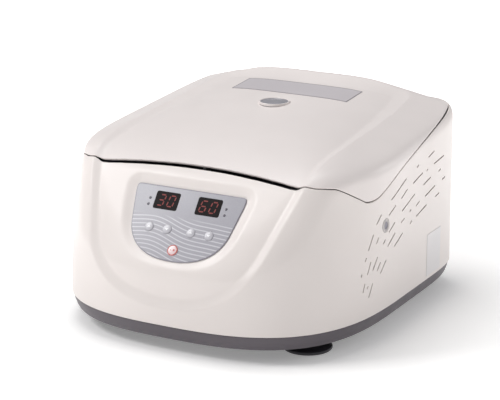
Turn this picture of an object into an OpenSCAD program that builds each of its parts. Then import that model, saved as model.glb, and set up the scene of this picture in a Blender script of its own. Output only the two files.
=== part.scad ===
// Benchtop microplate centrifuge with a curved hood and a swing-out rotor.
// Millimetres. X is the width, Y runs from the control panel at the front to the rear,
// Z is up from the table. The origin is on the table under the middle of the body.

/* [Body] */
// Overall width of the housing
body_w = 368; // [368:1:450]
// Overall depth of the housing
body_d = 403; // [403:1:490]
// Height of the lid crest at the rear above the table
body_h = 246; // [243:1:256]
// Height of the lid above the rotor axis
crown_z = 235; // [234:0.5:238]
// Distance from the rotor axis back to the rear wall
axis_to_rear = 154; // [154:1:185]
// Height of the top edge of the base tray
base_top = 31.5; // [29:0.5:34]
// Height of the rubber feet under the base tray
foot_h = 14; // [12:0.5:16]
// Wall of the moulded shells
wall = 3; // [2.5:0.1:3.4]
// Depth of the recessed shield on the front and the lid
shield_depth = 4.5; // [3:0.5:6]
// Clear gap along the seam between lid and housing
seam_gap = 1; // [0.6:0.1:1.5]

/* [Panel] */
// Lean of the control panel back from the vertical
panel_tilt = 36.3; // [34:0.1:38]
// Height of the middle of the two displays
panel_z = 155.4; // [153:0.1:157]
// Width of one display window
display_w = 30.4; // [26:0.1:34]
// Height of one display window
display_h = 21; // [18:0.1:24]
// Distance of each display from the middle
display_x = 26.4; // [24:0.1:30]
// Diameter of the four setting buttons
button_d = 10.6; // [8:0.1:12]
// Diameter of the start and stop button
start_d = 12.4; // [10:0.1:16]
// Travel of every button
button_travel = 0.6; // [0.4:0.1:0.8]

/* [Rotor] */
// Length of one microplate
plate_l = 127.76; // [120:0.01:128]
// Width of one microplate
plate_w = 85.48; // [80:0.01:86]
// Depth of the plate carrier walls
carrier_h = 16; // [12:1:20]
// Height of the carrier pivots above the table
pivot_z = 140; // [138:1:142]
// Drop from the pivots to the underside of the carriers
pivot_drop = 34; // [30:1:36]
// Diameter of the trunnion pins
trunnion_d = 6; // [4:0.5:8]
// Diameter of the drive shaft
shaft_d = 10; // [8:0.5:11]

/* [Lid] */
// Diameter of the sight glass
sight_d = 35; // [28:1:44]
// Radius of the rounded bar that hides the hinge
hinge_bar_r = 14; // [13:0.5:16]
// Diameter of the hinge pins
hinge_pin_d = 6; // [4:0.5:8]
// Distance of each hinge arm from the middle
hinge_x = 95; // [85:1:105]
// Height of the underside of the lid liner
liner_z = 190; // [189:0.5:192]

/* [Hidden] */
$fn = 64;
running_fit = 0.05;
soft_gap = 0.3;
half_w = body_w / 2;
front_y = axis_to_rear - body_d;
rear_y = axis_to_rear;
rotor_y = -(front_y + rear_y) / 2;
plan_y = front_y + 190;
below = -60;
carrier_wall = 1.6;
carrier_half_r = plate_w / 2 + 0.5 + carrier_wall;
carrier_half_t = plate_l / 2 + 0.5 + carrier_wall;
pivot_x = carrier_half_r + 15.5;
swing_reach = pivot_x + sqrt(pow(carrier_half_r, 2) + pow(pivot_drop, 2));
bowl_r = sqrt(pow(swing_reach, 2) + pow(carrier_half_t, 2)) + 2.7;
bowl_wall = 1.2;
bowl_floor = pivot_z - 62.5;
rim_z = liner_z - 9;
rim_r = bowl_r + 5.5;
deck_z = 155;
deck_t = 3;
ledge_y = -rim_r - 6;
hinge_y = rear_y - hinge_bar_r;
hinge_z = crown_z - 13 - hinge_bar_r;
motor_plate_z = bowl_floor - 15.5;
tray_floor = foot_h + wall;
post_x = half_w - 25;
post_y = [-70, 95];
foot_xy = [[127, front_y + 93], [127, rear_y - 54]];
shaft_r = shaft_d / 2;
pin_r = hinge_pin_d / 2;
trunnion_r = trunnion_d / 2;
latch_y = ledge_y - 8;
latch_z = liner_z - 20;
plug_y = -82;
plug_z = 127.7;
rear_panel_x = -70;
rear_panel_z = 52;
rear_panel_w = 112;
rear_panel_y = rear_y - 4.9;
inlet_x = rear_panel_x - 26;
switch_x = rear_panel_x + 28;

// Curves and outlines

function bezier(a, b, c, d, n) = [for (i = [0:n]) let (t = i / n)
    a * pow(1 - t, 3) + b * 3 * t * pow(1 - t, 2) + c * 3 * t * t * (1 - t) + d * pow(t, 3)];

function unit(v) = v / norm(v);

// A closed anticlockwise outline moved inwards by d.
function inset(p, d) = [for (i = [0:len(p) - 1]) let (
    a = p[(i + len(p) - 1) % len(p)], b = p[i], c = p[(i + 1) % len(p)],
    u = unit(b - a), v = unit(c - b), m = [-u.y - v.y, u.x + v.x])
    b + m * d / (1 + u * v)];

function spow(v, e) = sign(v) * pow(abs(v), e);

// Plan of the body: a full curve at the front and a squarer one at the rear.
front_power = 2.6;
rear_power = 8;
plan_half = concat(
    [for (a = [-86:7:-9]) [half_w * spow(cos(a), 2 / front_power),
        plan_y + 190 * spow(sin(a), 2 / front_power)]],
    [[half_w, plan_y]],
    [for (a = [20, 38, 50, 62, 74, 84])
        let (y = plan_y + (rear_y - plan_y) * pow(sin(a), 2 / rear_power))
        [(half_w - 0.03 * (y - plan_y)) * pow(cos(a), 2 / rear_power), y]]);

function mirrored(h) = [for (i = [len(h) - 1:-1:0]) [-h[i].x, h[i].y]];

plan = concat([[0, front_y]], plan_half, [[0, rear_y]], mirrored(plan_half));

panel_y = front_y + 52.5;
panel_up = [sin(panel_tilt), cos(panel_tilt)];
panel_out = [-cos(panel_tilt), sin(panel_tilt)];
function panel_point(h, n) = [panel_y, panel_z] + h * panel_up + n * panel_out;

// Side view of the body, from under the front edge, along the floor and over the lid.
panel_low = panel_point(-72, shield_depth);
panel_high = panel_point(29, shield_depth);
side = concat(
    [[front_y, below], [rear_y, below]],
    [for (a = [0:12.5:100]) [hinge_y + hinge_bar_r * cos(a), hinge_z + hinge_bar_r * sin(a)]],
    bezier([rear_y - 21, body_h - 9], [rear_y - 22, body_h - 3], [rear_y - 26, body_h],
        [rear_y - 34, body_h], 3),
    bezier([10, crown_z], [-80, crown_z - 8], [-163, 209], panel_high, 12),
    bezier(panel_low, panel_low - 18 * panel_up, [front_y, base_top + 40],
        [front_y, base_top], 5));

// Front view at the rotor axis.
front_half = concat(
    [[half_w, below]],
    bezier([half_w, 190], [half_w, 201], [half_w - 6, 205], [half_w - 18, 208.8], 5),
    bezier([half_w - 76, 226.8], [half_w - 96, 233], [66, body_h - 4], [30, body_h - 2], 3));
front = concat(front_half, mirrored(front_half));
front_lean = 4.3;

module across_x(width) {
    rotate([90, 0, 90]) translate([0, 0, -width / 2]) linear_extrude(width) children();
}

// The whole outer form, moved inwards by d.
module form(d) {
    intersection() {
        translate([0, 0, below]) linear_extrude(400) polygon(inset(plan, d));
        across_x(body_w + 20) polygon(inset(side, d));
        rotate([front_lean, 0, 0]) rotate([90, 0, 0]) translate([0, 0, -450])
            linear_extrude(900) polygon(inset(front, d));
    }
}

// Places its children in the plane of the control panel: x across, y up, z outwards.
module on_panel() {
    translate([0, panel_y, panel_z]) rotate([90 - panel_tilt, 0, 0]) children();
}

// Outline of the recessed shield, seen square to the control panel.
shield_top = 252;
shield_half = concat(
    [for (p = bezier([8, -115], [62, -115], [98, -88], [110, -45], 7)) p],
    [[130, 36], [126, shield_top - 30], [116, shield_top - 6], [100, shield_top]]);
shield = concat(shield_half, mirrored(shield_half));

module shield_recess(d) {
    difference() {
        on_panel() translate([0, 0, -220]) linear_extrude(500) polygon(inset(shield, -d));
        form(shield_depth + d);
    }
}

module shell() {
    difference() {
        form(0);
        shield_recess(0);
        difference() {
            form(wall);
            shield_recess(wall);
        }
    }
}

// Side view of the space that the lid fills, with its lower edge lowered by g.
seam_front = 186;
seam_low = 162.5;
lid_edge = concat(
    [[-300, seam_front], [front_y + 80, seam_front], [front_y + 92, seam_front - 2]],
    bezier([front_y + 130, seam_low], [front_y + 140, seam_low - 2],
        [front_y + 148, seam_low - 1], [front_y + 156, seam_low + 2], 4),
    bezier([front_y + 170, 170], [-40, 188], [40, 206], [hinge_y - 13, hinge_z + 10], 8),
    [[300, hinge_z + 10]]);

module lid_space(g) {
    difference() {
        across_x(body_w + 40)
            polygon(concat([for (p = lid_edge) p - [0, g]], [[300, 400], [-300, 400]]));
        hinge_line(hinge_bar_r + seam_gap - g, body_w + 60);
    }
}

module hinge_line(r, width, x = 0) {
    translate([x - width / 2, hinge_y, hinge_z]) rotate([0, 90, 0]) cylinder(r = r, h = width);
}

module ring(r_out, r_in, z0, z1) {
    translate([0, 0, z0]) difference() {
        cylinder(r = r_out, h = z1 - z0);
        translate([0, 0, -1]) cylinder(r = r_in, h = z1 - z0 + 2);
    }
}

module block(x, y, z) {
    translate([x[0], y[0], z[0]]) cube([x[1] - x[0], y[1] - y[0], z[1] - z[0]]);
}

module both_sides() {
    children();
    mirror([1, 0, 0]) children();
}

module round_plate(w, h, r, t) {
    for (s = [-1, 1])
        for (v = [-1, 1])
            translate([s * (w / 2 - r), v * (h / 2 - r), 0]) cylinder(r = r, h = t, $fn = 32);
    translate([-w / 2, r - h / 2, 0]) cube([w, h - 2 * r, t]);
    translate([r - w / 2, -h / 2, 0]) cube([w - 2 * r, h, t]);
}

// Base

module tray_solid(d) {
    steps = 3;
    depth = (base_top - foot_h) / steps;
    for (i = [0:steps - 1])
        translate([0, 0, foot_h + i * depth + (i == 0 ? 0 : -0.01)])
            linear_extrude(depth + (i == steps - 1 ? 0 : 0.01))
                polygon(inset(plan, 7 - 2.5 * i + d));
}

damper_xy = 37;
damper_post_top = motor_plate_z - 16;

module base_pan() {
    color("#665f66") {
        difference() {
            tray_solid(0);
            translate([0, 0, tray_floor]) linear_extrude(60) polygon(inset(plan, 10));
            for (p = foot_xy)
                both_sides() translate([p.x, p.y, 0]) cylinder(r = 3, h = 40);
            for (y = post_y)
                both_sides() translate([post_x, y, 0]) cylinder(r = 2.2, h = 40);
            for (i = [-6:6])
                block([i * 12 - 2, i * 12 + 2], [-130, -85], [0, 40]);
        }
        for (s = [-1, 1])
            for (v = [-1, 1])
                translate([s * damper_xy, v * damper_xy, tray_floor - 0.5]) difference() {
                    cylinder(r = 9, h = damper_post_top - tray_floor + 0.5);
                    translate([0, 0, 8]) cylinder(r = 2, h = 40);
                }
    }
}

module feet() {
    color("#2c2a2d")
        for (p = foot_xy)
            both_sides() translate([p.x, p.y, 0]) rotate_extrude()
                polygon([[2.8, 6], [12, 5.5], [21, 2], [25, 0], [27.5, 0], [27.5, 3.5], [20, 6.5],
                    [15, 8], [14, foot_h - 3], [17, foot_h - 2.5], [17, foot_h], [2.8, foot_h]]);
}

module foot_screws() {
    color("#b9bcc0")
        for (p = foot_xy)
            both_sides() translate([p.x, p.y, 0]) {
                translate([0, 0, 2.8]) cylinder(r = 5, h = 2.9);
                translate([0, 0, 5.6]) cylinder(r = 2.5, h = tray_floor);
                translate([0, 0, tray_floor]) cylinder(r = 4.6, h = 4, $fn = 6);
            }
}

// Housing

// Vent slots of each side: place along the depth, height, length and rise in degrees.
vent_w = 1.8;
vents = [
    [41, 180, 18, 12], [65, 168, 32, 5], [2, 175, 6, 17], [30, 164, 5, 21], [68, 155, 7, 13],
    [3, 161, 28, 12], [30, 151, 22, 11], [82, 142, 10, 6], [-50, 161, 43, 20],
    [-35, 152, 18, 22], [-23, 139, 38, 17], [40, 137, 30, 11], [62, 127, 12, 10],
    [4, 131, 11, 19], [-17, 128, 5, 27], [15, 120, 30, 12], [-67, 141, 19, 24],
    [-97, 138, 14, 43], [-38, 122, 10, 18], [-15, 114, 6, 30], [-67, 122, 17, 28],
    [-68, 108, 22, 31], [-49, 103, 25, 23], [-113, 116, 19, 57], [-100, 115, 8, 51],
    [-85, 110, 7, 37], [-123, 99, 5, 59], [-117, 88, 15, 62], [-105, 90, 17, 52],
    [-97, 85, 11, 47], [-87, 82, 18, 43], [-131, 83, 4, 64], [-127, 68, 11, 68],
    [-120, 67, 4, 57], [-114, 62, 17, 61]
];

module vent_slots() {
    for (v = vents)
        across_x(body_w + 20)
            translate([v[0], v[1]]) rotate(v[3]) square([v[2], vent_w], center = true);
}

module panel_outline_cut(d, t) {
    linear_extrude(t) polygon(inset(membrane, -d));
}

membrane_half = concat(
    bezier([6, -67], [34, -66], [55, -52], [61, -30], 6),
    [[65, -12], [68.5, 8], [68, 13], [64, 16]]);
membrane = concat(membrane_half, mirrored(membrane_half));
membrane_low = -2;
membrane_t = 1;
board_n = -9;
button_xh = [[-37.4, -32], [-14.9, -32], [14.9, -32], [37.4, -32]];
start_h = -54.4;
lamp_xh = [[-47.8, 0.8], [-47.8, -6.4], [47.8, 0.8], [47.8, -6.4]];
board_post_xh = [[-57, 10], [57, 10], [-45, -45], [45, -45]];

// Everything that passes through the panel, with d of room around it.
module panel_holes(d) {
    for (s = [-1, 1])
        translate([s * display_x, 0, -30])
            round_plate(display_w + 2 * d, display_h + 2 * d, 2.5, 60);
    for (p = button_xh)
        translate([p.x, p.y, -30]) cylinder(d = button_d + 2 * d, h = 60);
    translate([0, start_h, -30]) cylinder(d = start_d + 2 * d, h = 60);
    for (p = lamp_xh)
        translate([p.x, p.y, -30]) cylinder(r = 1.6 + d, h = 60, $fn = 32);
}

module housing() {
    color("#e6dedc") {
        difference() {
            intersection() {
                shell();
                translate([0, 0, base_top]) linear_extrude(300) square(900, center = true);
            }
            difference() {
                lid_space(seam_gap);
                hinge_line(hinge_bar_r, body_w + 80);
            }
            on_panel() {
                translate([0, 0, membrane_low]) panel_outline_cut(0.3, 60);
                panel_holes(0.3);
            }
            vent_slots();
            translate([half_w - 1.8, plug_y, plug_z]) rotate([0, 90, 0]) cylinder(r = 8, h = 20);
            translate([half_w - 20, plug_y, plug_z]) rotate([0, 90, 0]) cylinder(r = 5.2, h = 40);
            block([rear_panel_x - 50, rear_panel_x + 50], [rear_y - 20, rear_y + 5],
                [rear_panel_z - 16, rear_panel_z + 16]);
            hinge_slots();
        }
        difference() {
            intersection() {
                hinge_line(hinge_bar_r, body_w);
                block([-half_w, half_w], [hinge_y - 20, hinge_y + 2], [hinge_z, hinge_z + 20]);
                form(0.02);
            }
            hinge_line(hinge_bar_r - wall, body_w);
            hinge_slots();
        }
        for (y = post_y)
            both_sides() difference() {
                union() {
                    translate([post_x, y, tray_floor]) cylinder(r = 6, h = deck_z - tray_floor);
                    intersection() {
                        form(wall - 0.5);
                        block([post_x + 3, half_w], [y - 1.5, y + 1.5], [base_top + 2, deck_z]);
                    }
                }
                translate([post_x, y, 0]) cylinder(r = 1.7, h = 40);
                translate([post_x, y, deck_z - 15]) cylinder(r = 1.7, h = 40);
            }
        on_panel()
            for (p = board_post_xh)
                translate([p.x, p.y, board_n]) difference() {
                    cylinder(r = 3, h = -2.6 - board_n);
                    translate([0, 0, -1]) cylinder(r = 1.1, h = 5, $fn = 24);
                }
    }
}

module hinge_slots() {
    both_sides()
        block([hinge_x - 5.5, hinge_x + 5.5], [hinge_y - 30, hinge_y + 8],
            [hinge_z - 8, hinge_z + 40]);
}

module screw(head_r, head_h, r, l) {
    cylinder(r = head_r, h = head_h);
    translate([0, 0, head_h - 0.01]) cylinder(r = r, h = l);
}

module housing_screws() {
    color("#b9bcc0")
        for (y = post_y)
            both_sides() translate([post_x, y, foot_h - 2.4]) screw(4, 2.4, 1.65, 22);
}

// Deck and chamber

module deck() {
    color("#dcd6d4") {
        difference() {
            union() {
                intersection() {
                    form(wall + 0.4);
                    block([-half_w, half_w], [ledge_y, rear_y], [deck_z, deck_z + deck_t]);
                }
                intersection() {
                    form(wall + 1.4);
                    union() {
                        block([-half_w, half_w], [front_y, ledge_y + 2], [rim_z - 3, rim_z]);
                        block([-half_w, half_w], [ledge_y, ledge_y + 2], [deck_z, rim_z]);
                    }
                }
                translate([0, 0, deck_z]) cylinder(r = rim_r, h = rim_z - deck_z);
            }
            translate([0, 0, deck_z - 5]) cylinder(r = bowl_r + bowl_wall + 0.4, h = 60);
            for (y = post_y)
                both_sides() translate([post_x, y, 0]) cylinder(r = 2.2, h = 200);
            block([-6, 6], [latch_y - 12, latch_y + 8.5], [rim_z - 10, rim_z + 5]);
            shield_recess(wall + 0.4);
        }
    }
}

module deck_screws() {
    color("#b9bcc0")
        for (y = post_y)
            both_sides() translate([post_x, y, deck_z + deck_t + 2.2]) mirror([0, 0, 1])
                screw(4, 2.2, 1.65, 14);
}

module chamber_bowl() {
    f = 14;
    inner = [for (a = [0:15:90]) [bowl_r - f + f * sin(a), bowl_floor + f - f * cos(a)]];
    outer = [for (a = [90:-15:0]) [bowl_r - f + (f + bowl_wall) * sin(a),
        bowl_floor + f - (f + bowl_wall) * cos(a)]];
    color("#c9ccd0") rotate_extrude($fn = 128)
        polygon(concat(
            [[23.2, bowl_floor], [23.2, bowl_floor + 8], [22, bowl_floor + 8],
                [22, bowl_floor - bowl_wall]],
            [for (i = [len(outer) - 1:-1:0]) outer[i]],
            [[bowl_r + bowl_wall, rim_z], [rim_r, rim_z], [rim_r, rim_z + bowl_wall],
                [bowl_r, rim_z + bowl_wall]],
            [for (i = [len(inner) - 1:-1:0]) inner[i]]));
}

module bowl_gasket() {
    color("#34333a") ring(rim_r - 0.5, bowl_r + 1, rim_z + bowl_wall, liner_z - soft_gap);
}

module shaft_gaiter() {
    color("#2c2a2d") rotate_extrude()
        polygon([[12.9, bowl_floor + 1], [14.4, bowl_floor + 1], [14.4, bowl_floor + 5],
            [21.7, bowl_floor + 2], [21.7, bowl_floor + 4], [14.4, bowl_floor + 7],
            [12.9, bowl_floor + 7]]);
}

// Drive

module motor_housing() {
    top = bowl_floor + 7;
    color("#8d9096") difference() {
        union() {
            translate([0, 0, tray_floor + 5]) cylinder(r = 40, h = motor_plate_z - tray_floor - 5);
            translate([0, 0, motor_plate_z - 1]) cylinder(r = 12.5, h = top - motor_plate_z + 1);
        }
        cylinder(r = shaft_r + 1.2, h = 120);
        translate([0, 0, top - 9]) cylinder(r = 9.5, h = 20);
        cylinder(r = 9.5, h = tray_floor + 14);
        for (i = [0:15])
            rotate(i * 22.5) block([38, 42], [-1.2, 1.2], [tray_floor + 12, motor_plate_z - 6]);
    }
}

module motor_bearings() {
    color("#b9bcc0") {
        ring(9.45, shaft_r + running_fit, bowl_floor - 1.9, bowl_floor + 6.6);
        ring(9.45, shaft_r + running_fit, tray_floor + 5.4, tray_floor + 13.9);
    }
}

module motor_plate() {
    color("#a9acb0") difference() {
        translate([0, 0, motor_plate_z]) cylinder(r = 64, h = 4);
        translate([0, 0, motor_plate_z - 1]) cylinder(r = 12.7, h = 6);
        for (s = [-1, 1])
            for (v = [-1, 1])
                translate([s * damper_xy, v * damper_xy, motor_plate_z - 1]) cylinder(r = 3, h = 6);
    }
}

module motor_dampers() {
    color("#2c2a2d")
        for (s = [-1, 1])
            for (v = [-1, 1])
                translate([s * damper_xy, v * damper_xy, damper_post_top]) {
                    cylinder(r = 8, h = 16);
                    translate([0, 0, -0.01]) cylinder(r = 2.8, h = 22);
                    translate([0, 0, 20]) cylinder(r = 5, h = 2.5);
                }
}

hub_bottom = bowl_floor + 12;
hub_top = pivot_z + 6;

module drive_shaft() {
    color("#b9bcc0") {
        translate([0, 0, tray_floor + 2]) cylinder(r = shaft_r, h = hub_top + 8 - tray_floor - 2);
        translate([0, 0, hub_bottom - 4]) cylinder(r = 8, h = 4);
    }
}

rail_y = carrier_half_t + 1.5;
rail_t = 6;

module rotor_yoke() {
    color("#4b4d53") difference() {
        union() {
            translate([0, 0, hub_bottom]) cylinder(r = 13, h = hub_top - hub_bottom);
            block([-10, 10], [-rail_y - 1, rail_y + 1], [pivot_z - 8, pivot_z + 6]);
            for (s = [-1, 1])
                mirror([0, s < 0 ? 1 : 0, 0]) {
                    block([-pivot_x, pivot_x], [rail_y, rail_y + rail_t],
                        [pivot_z - 7, pivot_z + 7]);
                    for (x = [-pivot_x, pivot_x])
                        translate([x, rail_y + rail_t, pivot_z]) rotate([90, 0, 0])
                            cylinder(r = 7, h = rail_t);
                }
        }
        cylinder(r = shaft_r, h = 300);
        for (x = [-pivot_x, pivot_x])
            translate([x, 150, pivot_z]) rotate([90, 0, 0]) cylinder(r = trunnion_r, h = 300);
        for (y = [-48, -30, 30, 48])
            translate([0, y, 0]) cylinder(r = 6, h = 300);
        for (x = [-36, -20, 20, 36])
            translate([x, 150, pivot_z]) rotate([90, 0, 0]) cylinder(r = 4, h = 300);
    }
}

module rotor_nut() {
    color("#b9bcc0") difference() {
        union() {
            translate([0, 0, hub_top]) cylinder(r = 12, h = 4);
            translate([0, 0, hub_top + 4]) cylinder(r = 9, h = 7, $fn = 6);
        }
        translate([0, 0, hub_top - 1]) cylinder(r = shaft_r, h = 9);
    }
}

module trunnion_pins() {
    color("#b9bcc0")
        for (x = [-pivot_x, pivot_x])
            for (s = [-1, 1])
                mirror([0, s < 0 ? 1 : 0, 0]) translate([x, 0, pivot_z]) rotate([-90, 0, 0]) {
                    translate([0, 0, carrier_half_t - 4]) cylinder(r = trunnion_r, h = 13.5);
                    translate([0, 0, rail_y + rail_t]) cylinder(r = trunnion_r + 2, h = 1.8);
                }
}

module carrier() {
    floor_z = pivot_z - pivot_drop;
    in_r = carrier_half_r - carrier_wall;
    in_t = carrier_half_t - carrier_wall;
    translate([pivot_x, 0, 0]) difference() {
        union() {
            difference() {
                block([-carrier_half_r, carrier_half_r], [-carrier_half_t, carrier_half_t],
                    [floor_z, floor_z + carrier_h]);
                block([-in_r, in_r], [-in_t, in_t], [floor_z + 2, floor_z + 50]);
                for (x = [-1:1])
                    for (y = [-1:1])
                        block([x * 28 - 10, x * 28 + 10], [y * 42 - 17, y * 42 + 17],
                            [floor_z - 1, floor_z + 10]);
                for (s = [-1, 1])
                    block([s * in_r - 5, s * in_r + 5], [-22, 22],
                        [floor_z + 7, floor_z + 50]);
            }
            for (s = [-1, 1])
                mirror([0, s < 0 ? 1 : 0, 0]) {
                    translate([0, carrier_half_t, 0]) rotate([90, 0, 0])
                        linear_extrude(carrier_wall)
                            polygon([[-20, floor_z + 2], [20, floor_z + 2], [7, pivot_z],
                                [-7, pivot_z]]);
                    translate([0, carrier_half_t, pivot_z]) rotate([90, 0, 0])
                        cylinder(r = 7, h = 4);
                }
        }
        translate([0, 150, pivot_z]) rotate([90, 0, 0])
            cylinder(r = trunnion_r + running_fit, h = 300);
    }
}

module carrier_right() {
    color("#9a9ca2") carrier();
}

module carrier_left() {
    color("#9a9ca2") mirror([1, 0, 0]) carrier();
}

// Control panel

module panel_membrane() {
    color("#b7b4ba") on_panel() difference() {
        translate([0, 0, membrane_low]) panel_outline_cut(0, membrane_t);
        panel_holes(0.3);
    }
}

module display(x) {
    on_panel() translate([x, 0, board_n])
        round_plate(display_w, display_h, 2.2, -board_n + membrane_low + membrane_t + 0.1);
}

module display_speed() {
    color("#1a0606") display(-display_x);
}

module display_time() {
    color("#1a0606") display(display_x);
}

module indicator_lamps() {
    color("#3a2b2b") on_panel()
        for (p = lamp_xh)
            translate([p.x, p.y, board_n])
                cylinder(r = 1.6, h = -board_n + membrane_low + membrane_t + 0.1, $fn = 32);
}

module button(x, h, d) {
    on_panel() translate([x, h, 0]) {
        translate([0, 0, board_n + 1]) cylinder(r = 2, h = 8, $fn = 32);
        translate([0, 0, membrane_low - 1.5]) cylinder(d = d, h = 3.8);
    }
}

module button_speed_down() { color("#cfcccf") button(button_xh[1].x, button_xh[1].y, button_d); }

module button_speed_up() { color("#cfcccf") button(button_xh[0].x, button_xh[0].y, button_d); }

module button_time_down() { color("#cfcccf") button(button_xh[3].x, button_xh[3].y, button_d); }

module button_time_up() { color("#cfcccf") button(button_xh[2].x, button_xh[2].y, button_d); }

module button_start() { color("#e3bfc4") button(0, start_h, start_d); }

module control_board() {
    color("#3c6b46") on_panel() {
        difference() {
            translate([-64, -64, board_n - 1.6]) cube([128, 80, 1.6]);
            for (p = board_post_xh)
                translate([p.x, p.y, board_n - 5]) cylinder(r = 1.3, h = 10, $fn = 24);
        }
        translate([-20, -12, board_n - 5]) cube([40, 14, 3.5]);
    }
}

board_z = tray_floor + 7;
driver_x = 68;
driver_y = [front_y + 29, front_y + 94];

module driver_board() {
    color("#3c6b46") {
        block([-driver_x, driver_x], driver_y, [board_z, board_z + 1.6]);
        block([-60, -20], [driver_y[0] + 6, driver_y[1] - 10], [board_z + 1.5, board_z + 34]);
        for (i = [0:2])
            translate([i * 22 + 4, driver_y[0] + 18, board_z + 1.5]) cylinder(r = 8, h = 28);
        for (i = [0:8])
            block([-2 + i * 7, 1 + i * 7], [driver_y[1] - 30, driver_y[1] - 8],
                [board_z + 5, board_z + 26]);
        block([-2, 57], [driver_y[1] - 30, driver_y[1] - 8], [board_z + 1.5, board_z + 5]);
    }
}

module board_posts() {
    color("#b9bcc0")
        for (s = [-1, 1])
            for (y = [driver_y[0] + 5, driver_y[1] - 5])
                translate([s * (driver_x - 5), y, tray_floor])
                    cylinder(r = 3, h = board_z - tray_floor);
}

// Latch

bolt_r = 4;
bolt_travel = 10;

module latch_frame() {
    color("#a9acb0") difference() {
        block([9, 20], [latch_y - 7, latch_y + 7], [latch_z - 8, rim_z - 3]);
        translate([0, latch_y, latch_z]) rotate([0, 90, 0])
            cylinder(r = bolt_r + running_fit, h = 60);
    }
}

module latch_solenoid() {
    color("#3a3d44") difference() {
        block([30, 66], [latch_y - 7.6, latch_y + 7.6], [latch_z - 9, rim_z - 3]);
        translate([25, latch_y, latch_z]) rotate([0, 90, 0]) cylinder(r = bolt_r + 0.3, h = 35);
    }
}

module latch_bolt() {
    color("#b9bcc0") translate([5, latch_y, latch_z]) rotate([0, 90, 0])
        cylinder(r = bolt_r, h = 40);
}

module latch_hook() {
    color("#b9bcc0") difference() {
        union() {
            block([-2, 2], [latch_y - 6.4, latch_y + 7], [latch_z - 6.4, latch_z + 6.4]);
            block([-2, 2], [latch_y - 3, latch_y + 7], [latch_z + 6, liner_z]);
            block([-10, 10], [latch_y - 4, latch_y + 7], [liner_z - 2, liner_z]);
        }
        translate([-20, latch_y, latch_z]) rotate([0, 90, 0]) cylinder(r = bolt_r + 0.6, h = 40);
    }
}

// Lid

lid_screw_xy = [[half_w - 26, -60], [half_w - 26, 60]];
sight_top = crown_z - shield_depth - 0.6;

module lid_shell() {
    color("#e3dbd8") {
        difference() {
            intersection() {
                shell();
                lid_space(0);
            }
            cylinder(d = sight_d + 1, h = 300);
        }
        both_sides()
            for (p = lid_screw_xy)
                difference() {
                    intersection() {
                        form(1);
                        translate([p.x, p.y, liner_z + 2.5]) cylinder(r = 5, h = 60);
                    }
                    translate([p.x, p.y, liner_z]) cylinder(r = 1.7, h = 12);
                }
    }
}

module lid_liner() {
    color("#d3cdcb") difference() {
        union() {
            intersection() {
                form(wall + 1.4);
                block([-half_w + 20, half_w - 20], [front_y, 118], [liner_z, liner_z + 2.5]);
            }
            intersection() {
                translate([0, 0, liner_z]) cylinder(r = rim_r - 0.5, h = 2.5);
                block([-half_w, half_w], [0, rim_r - 0.5], [liner_z, liner_z + 2.5]);
            }
            ring(sight_d / 2 - 0.5, sight_d / 2 - 2.5, liner_z, sight_top - wall - 4.3);
        }
        translate([0, 0, liner_z - 5]) cylinder(d = sight_d - 5, h = 10);
        both_sides()
            block([hinge_x - 10, hinge_x + 10], [rear_y - 32, rear_y], [liner_z - 5, liner_z + 8]);
        both_sides()
            for (p = lid_screw_xy)
                translate([p.x, p.y, liner_z - 5]) cylinder(r = 2.2, h = 20);
        shield_recess(wall + 0.6);
    }
}

module lid_screws() {
    color("#b9bcc0") both_sides()
        for (p = lid_screw_xy)
            translate([p.x, p.y, liner_z - 2.2]) screw(4, 2.2, 1.65, 10);
}

module sight_glass() {
    color("#7d8088") {
        translate([0, 0, sight_top - wall - 4]) cylinder(d = sight_d, h = wall + 3.7);
        translate([0, 0, sight_top - wall - 4]) cylinder(d = sight_d + 7, h = 1.4);
    }
}

module skin_patch(d, t) {
    intersection() {
        difference() {
            form(d - t);
            form(d);
        }
        children();
    }
}

module info_plate() {
    color("#cfc9cb") skin_patch(shield_depth, 0.5)
        block([-76.3, 76.3], [33, 76], [200, 270]);
}

module rating_plate() {
    color("#d8d6d8") skin_patch(0, 0.4) block([0, 300], [34, 75], [36, 86]);
}

// Hinge

module hinge_arms() {
    color("#4b4d53") both_sides() translate([hinge_x - 4, 0, 0]) difference() {
        union() {
            translate([0, hinge_y, hinge_z]) rotate([0, 90, 0]) cylinder(r = 7, h = 8);
            rotate([90, 0, 90]) linear_extrude(8)
                polygon([[hinge_y, hinge_z + 7], [hinge_y - 27, hinge_z + 6],
                    [hinge_y - 44, hinge_z - 3], [hinge_y - 50, liner_z + 2.5],
                    [hinge_y - 20, liner_z + 2.5], [hinge_y - 8, hinge_z - 9],
                    [hinge_y, hinge_z - 7]]);
        }
        translate([-1, hinge_y, hinge_z]) rotate([0, 90, 0])
            cylinder(r = pin_r + running_fit, h = 12);
    }
}

module hinge_brackets() {
    color("#a9acb0") both_sides() difference() {
        union() {
            block([hinge_x - 8.4, hinge_x + 8.4], [hinge_y - 14, hinge_y + 8],
                [deck_z + deck_t, deck_z + deck_t + 3]);
            for (x = [hinge_x - 8.4, hinge_x + 5.4]) {
                block([x, x + 3], [hinge_y - 7, hinge_y + 7], [deck_z + deck_t, hinge_z]);
                translate([x, hinge_y, hinge_z]) rotate([0, 90, 0]) cylinder(r = 7, h = 3);
            }
        }
        hinge_line(pin_r, 60, hinge_x);
    }
}

module hinge_pins() {
    color("#b9bcc0") both_sides() {
        hinge_line(pin_r, 20, hinge_x);
        hinge_line(pin_r + 1.5, 1.5, hinge_x + 9.2);
    }
}

// Side and rear fittings

module release_plug() {
    color("#d8d0ce") translate([half_w - 1.6, plug_y, plug_z]) rotate([0, 90, 0]) {
        cylinder(r = 7.6, h = 1.4);
        translate([0, 0, -9]) cylinder(r = 5, h = 9.5);
    }
}

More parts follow.
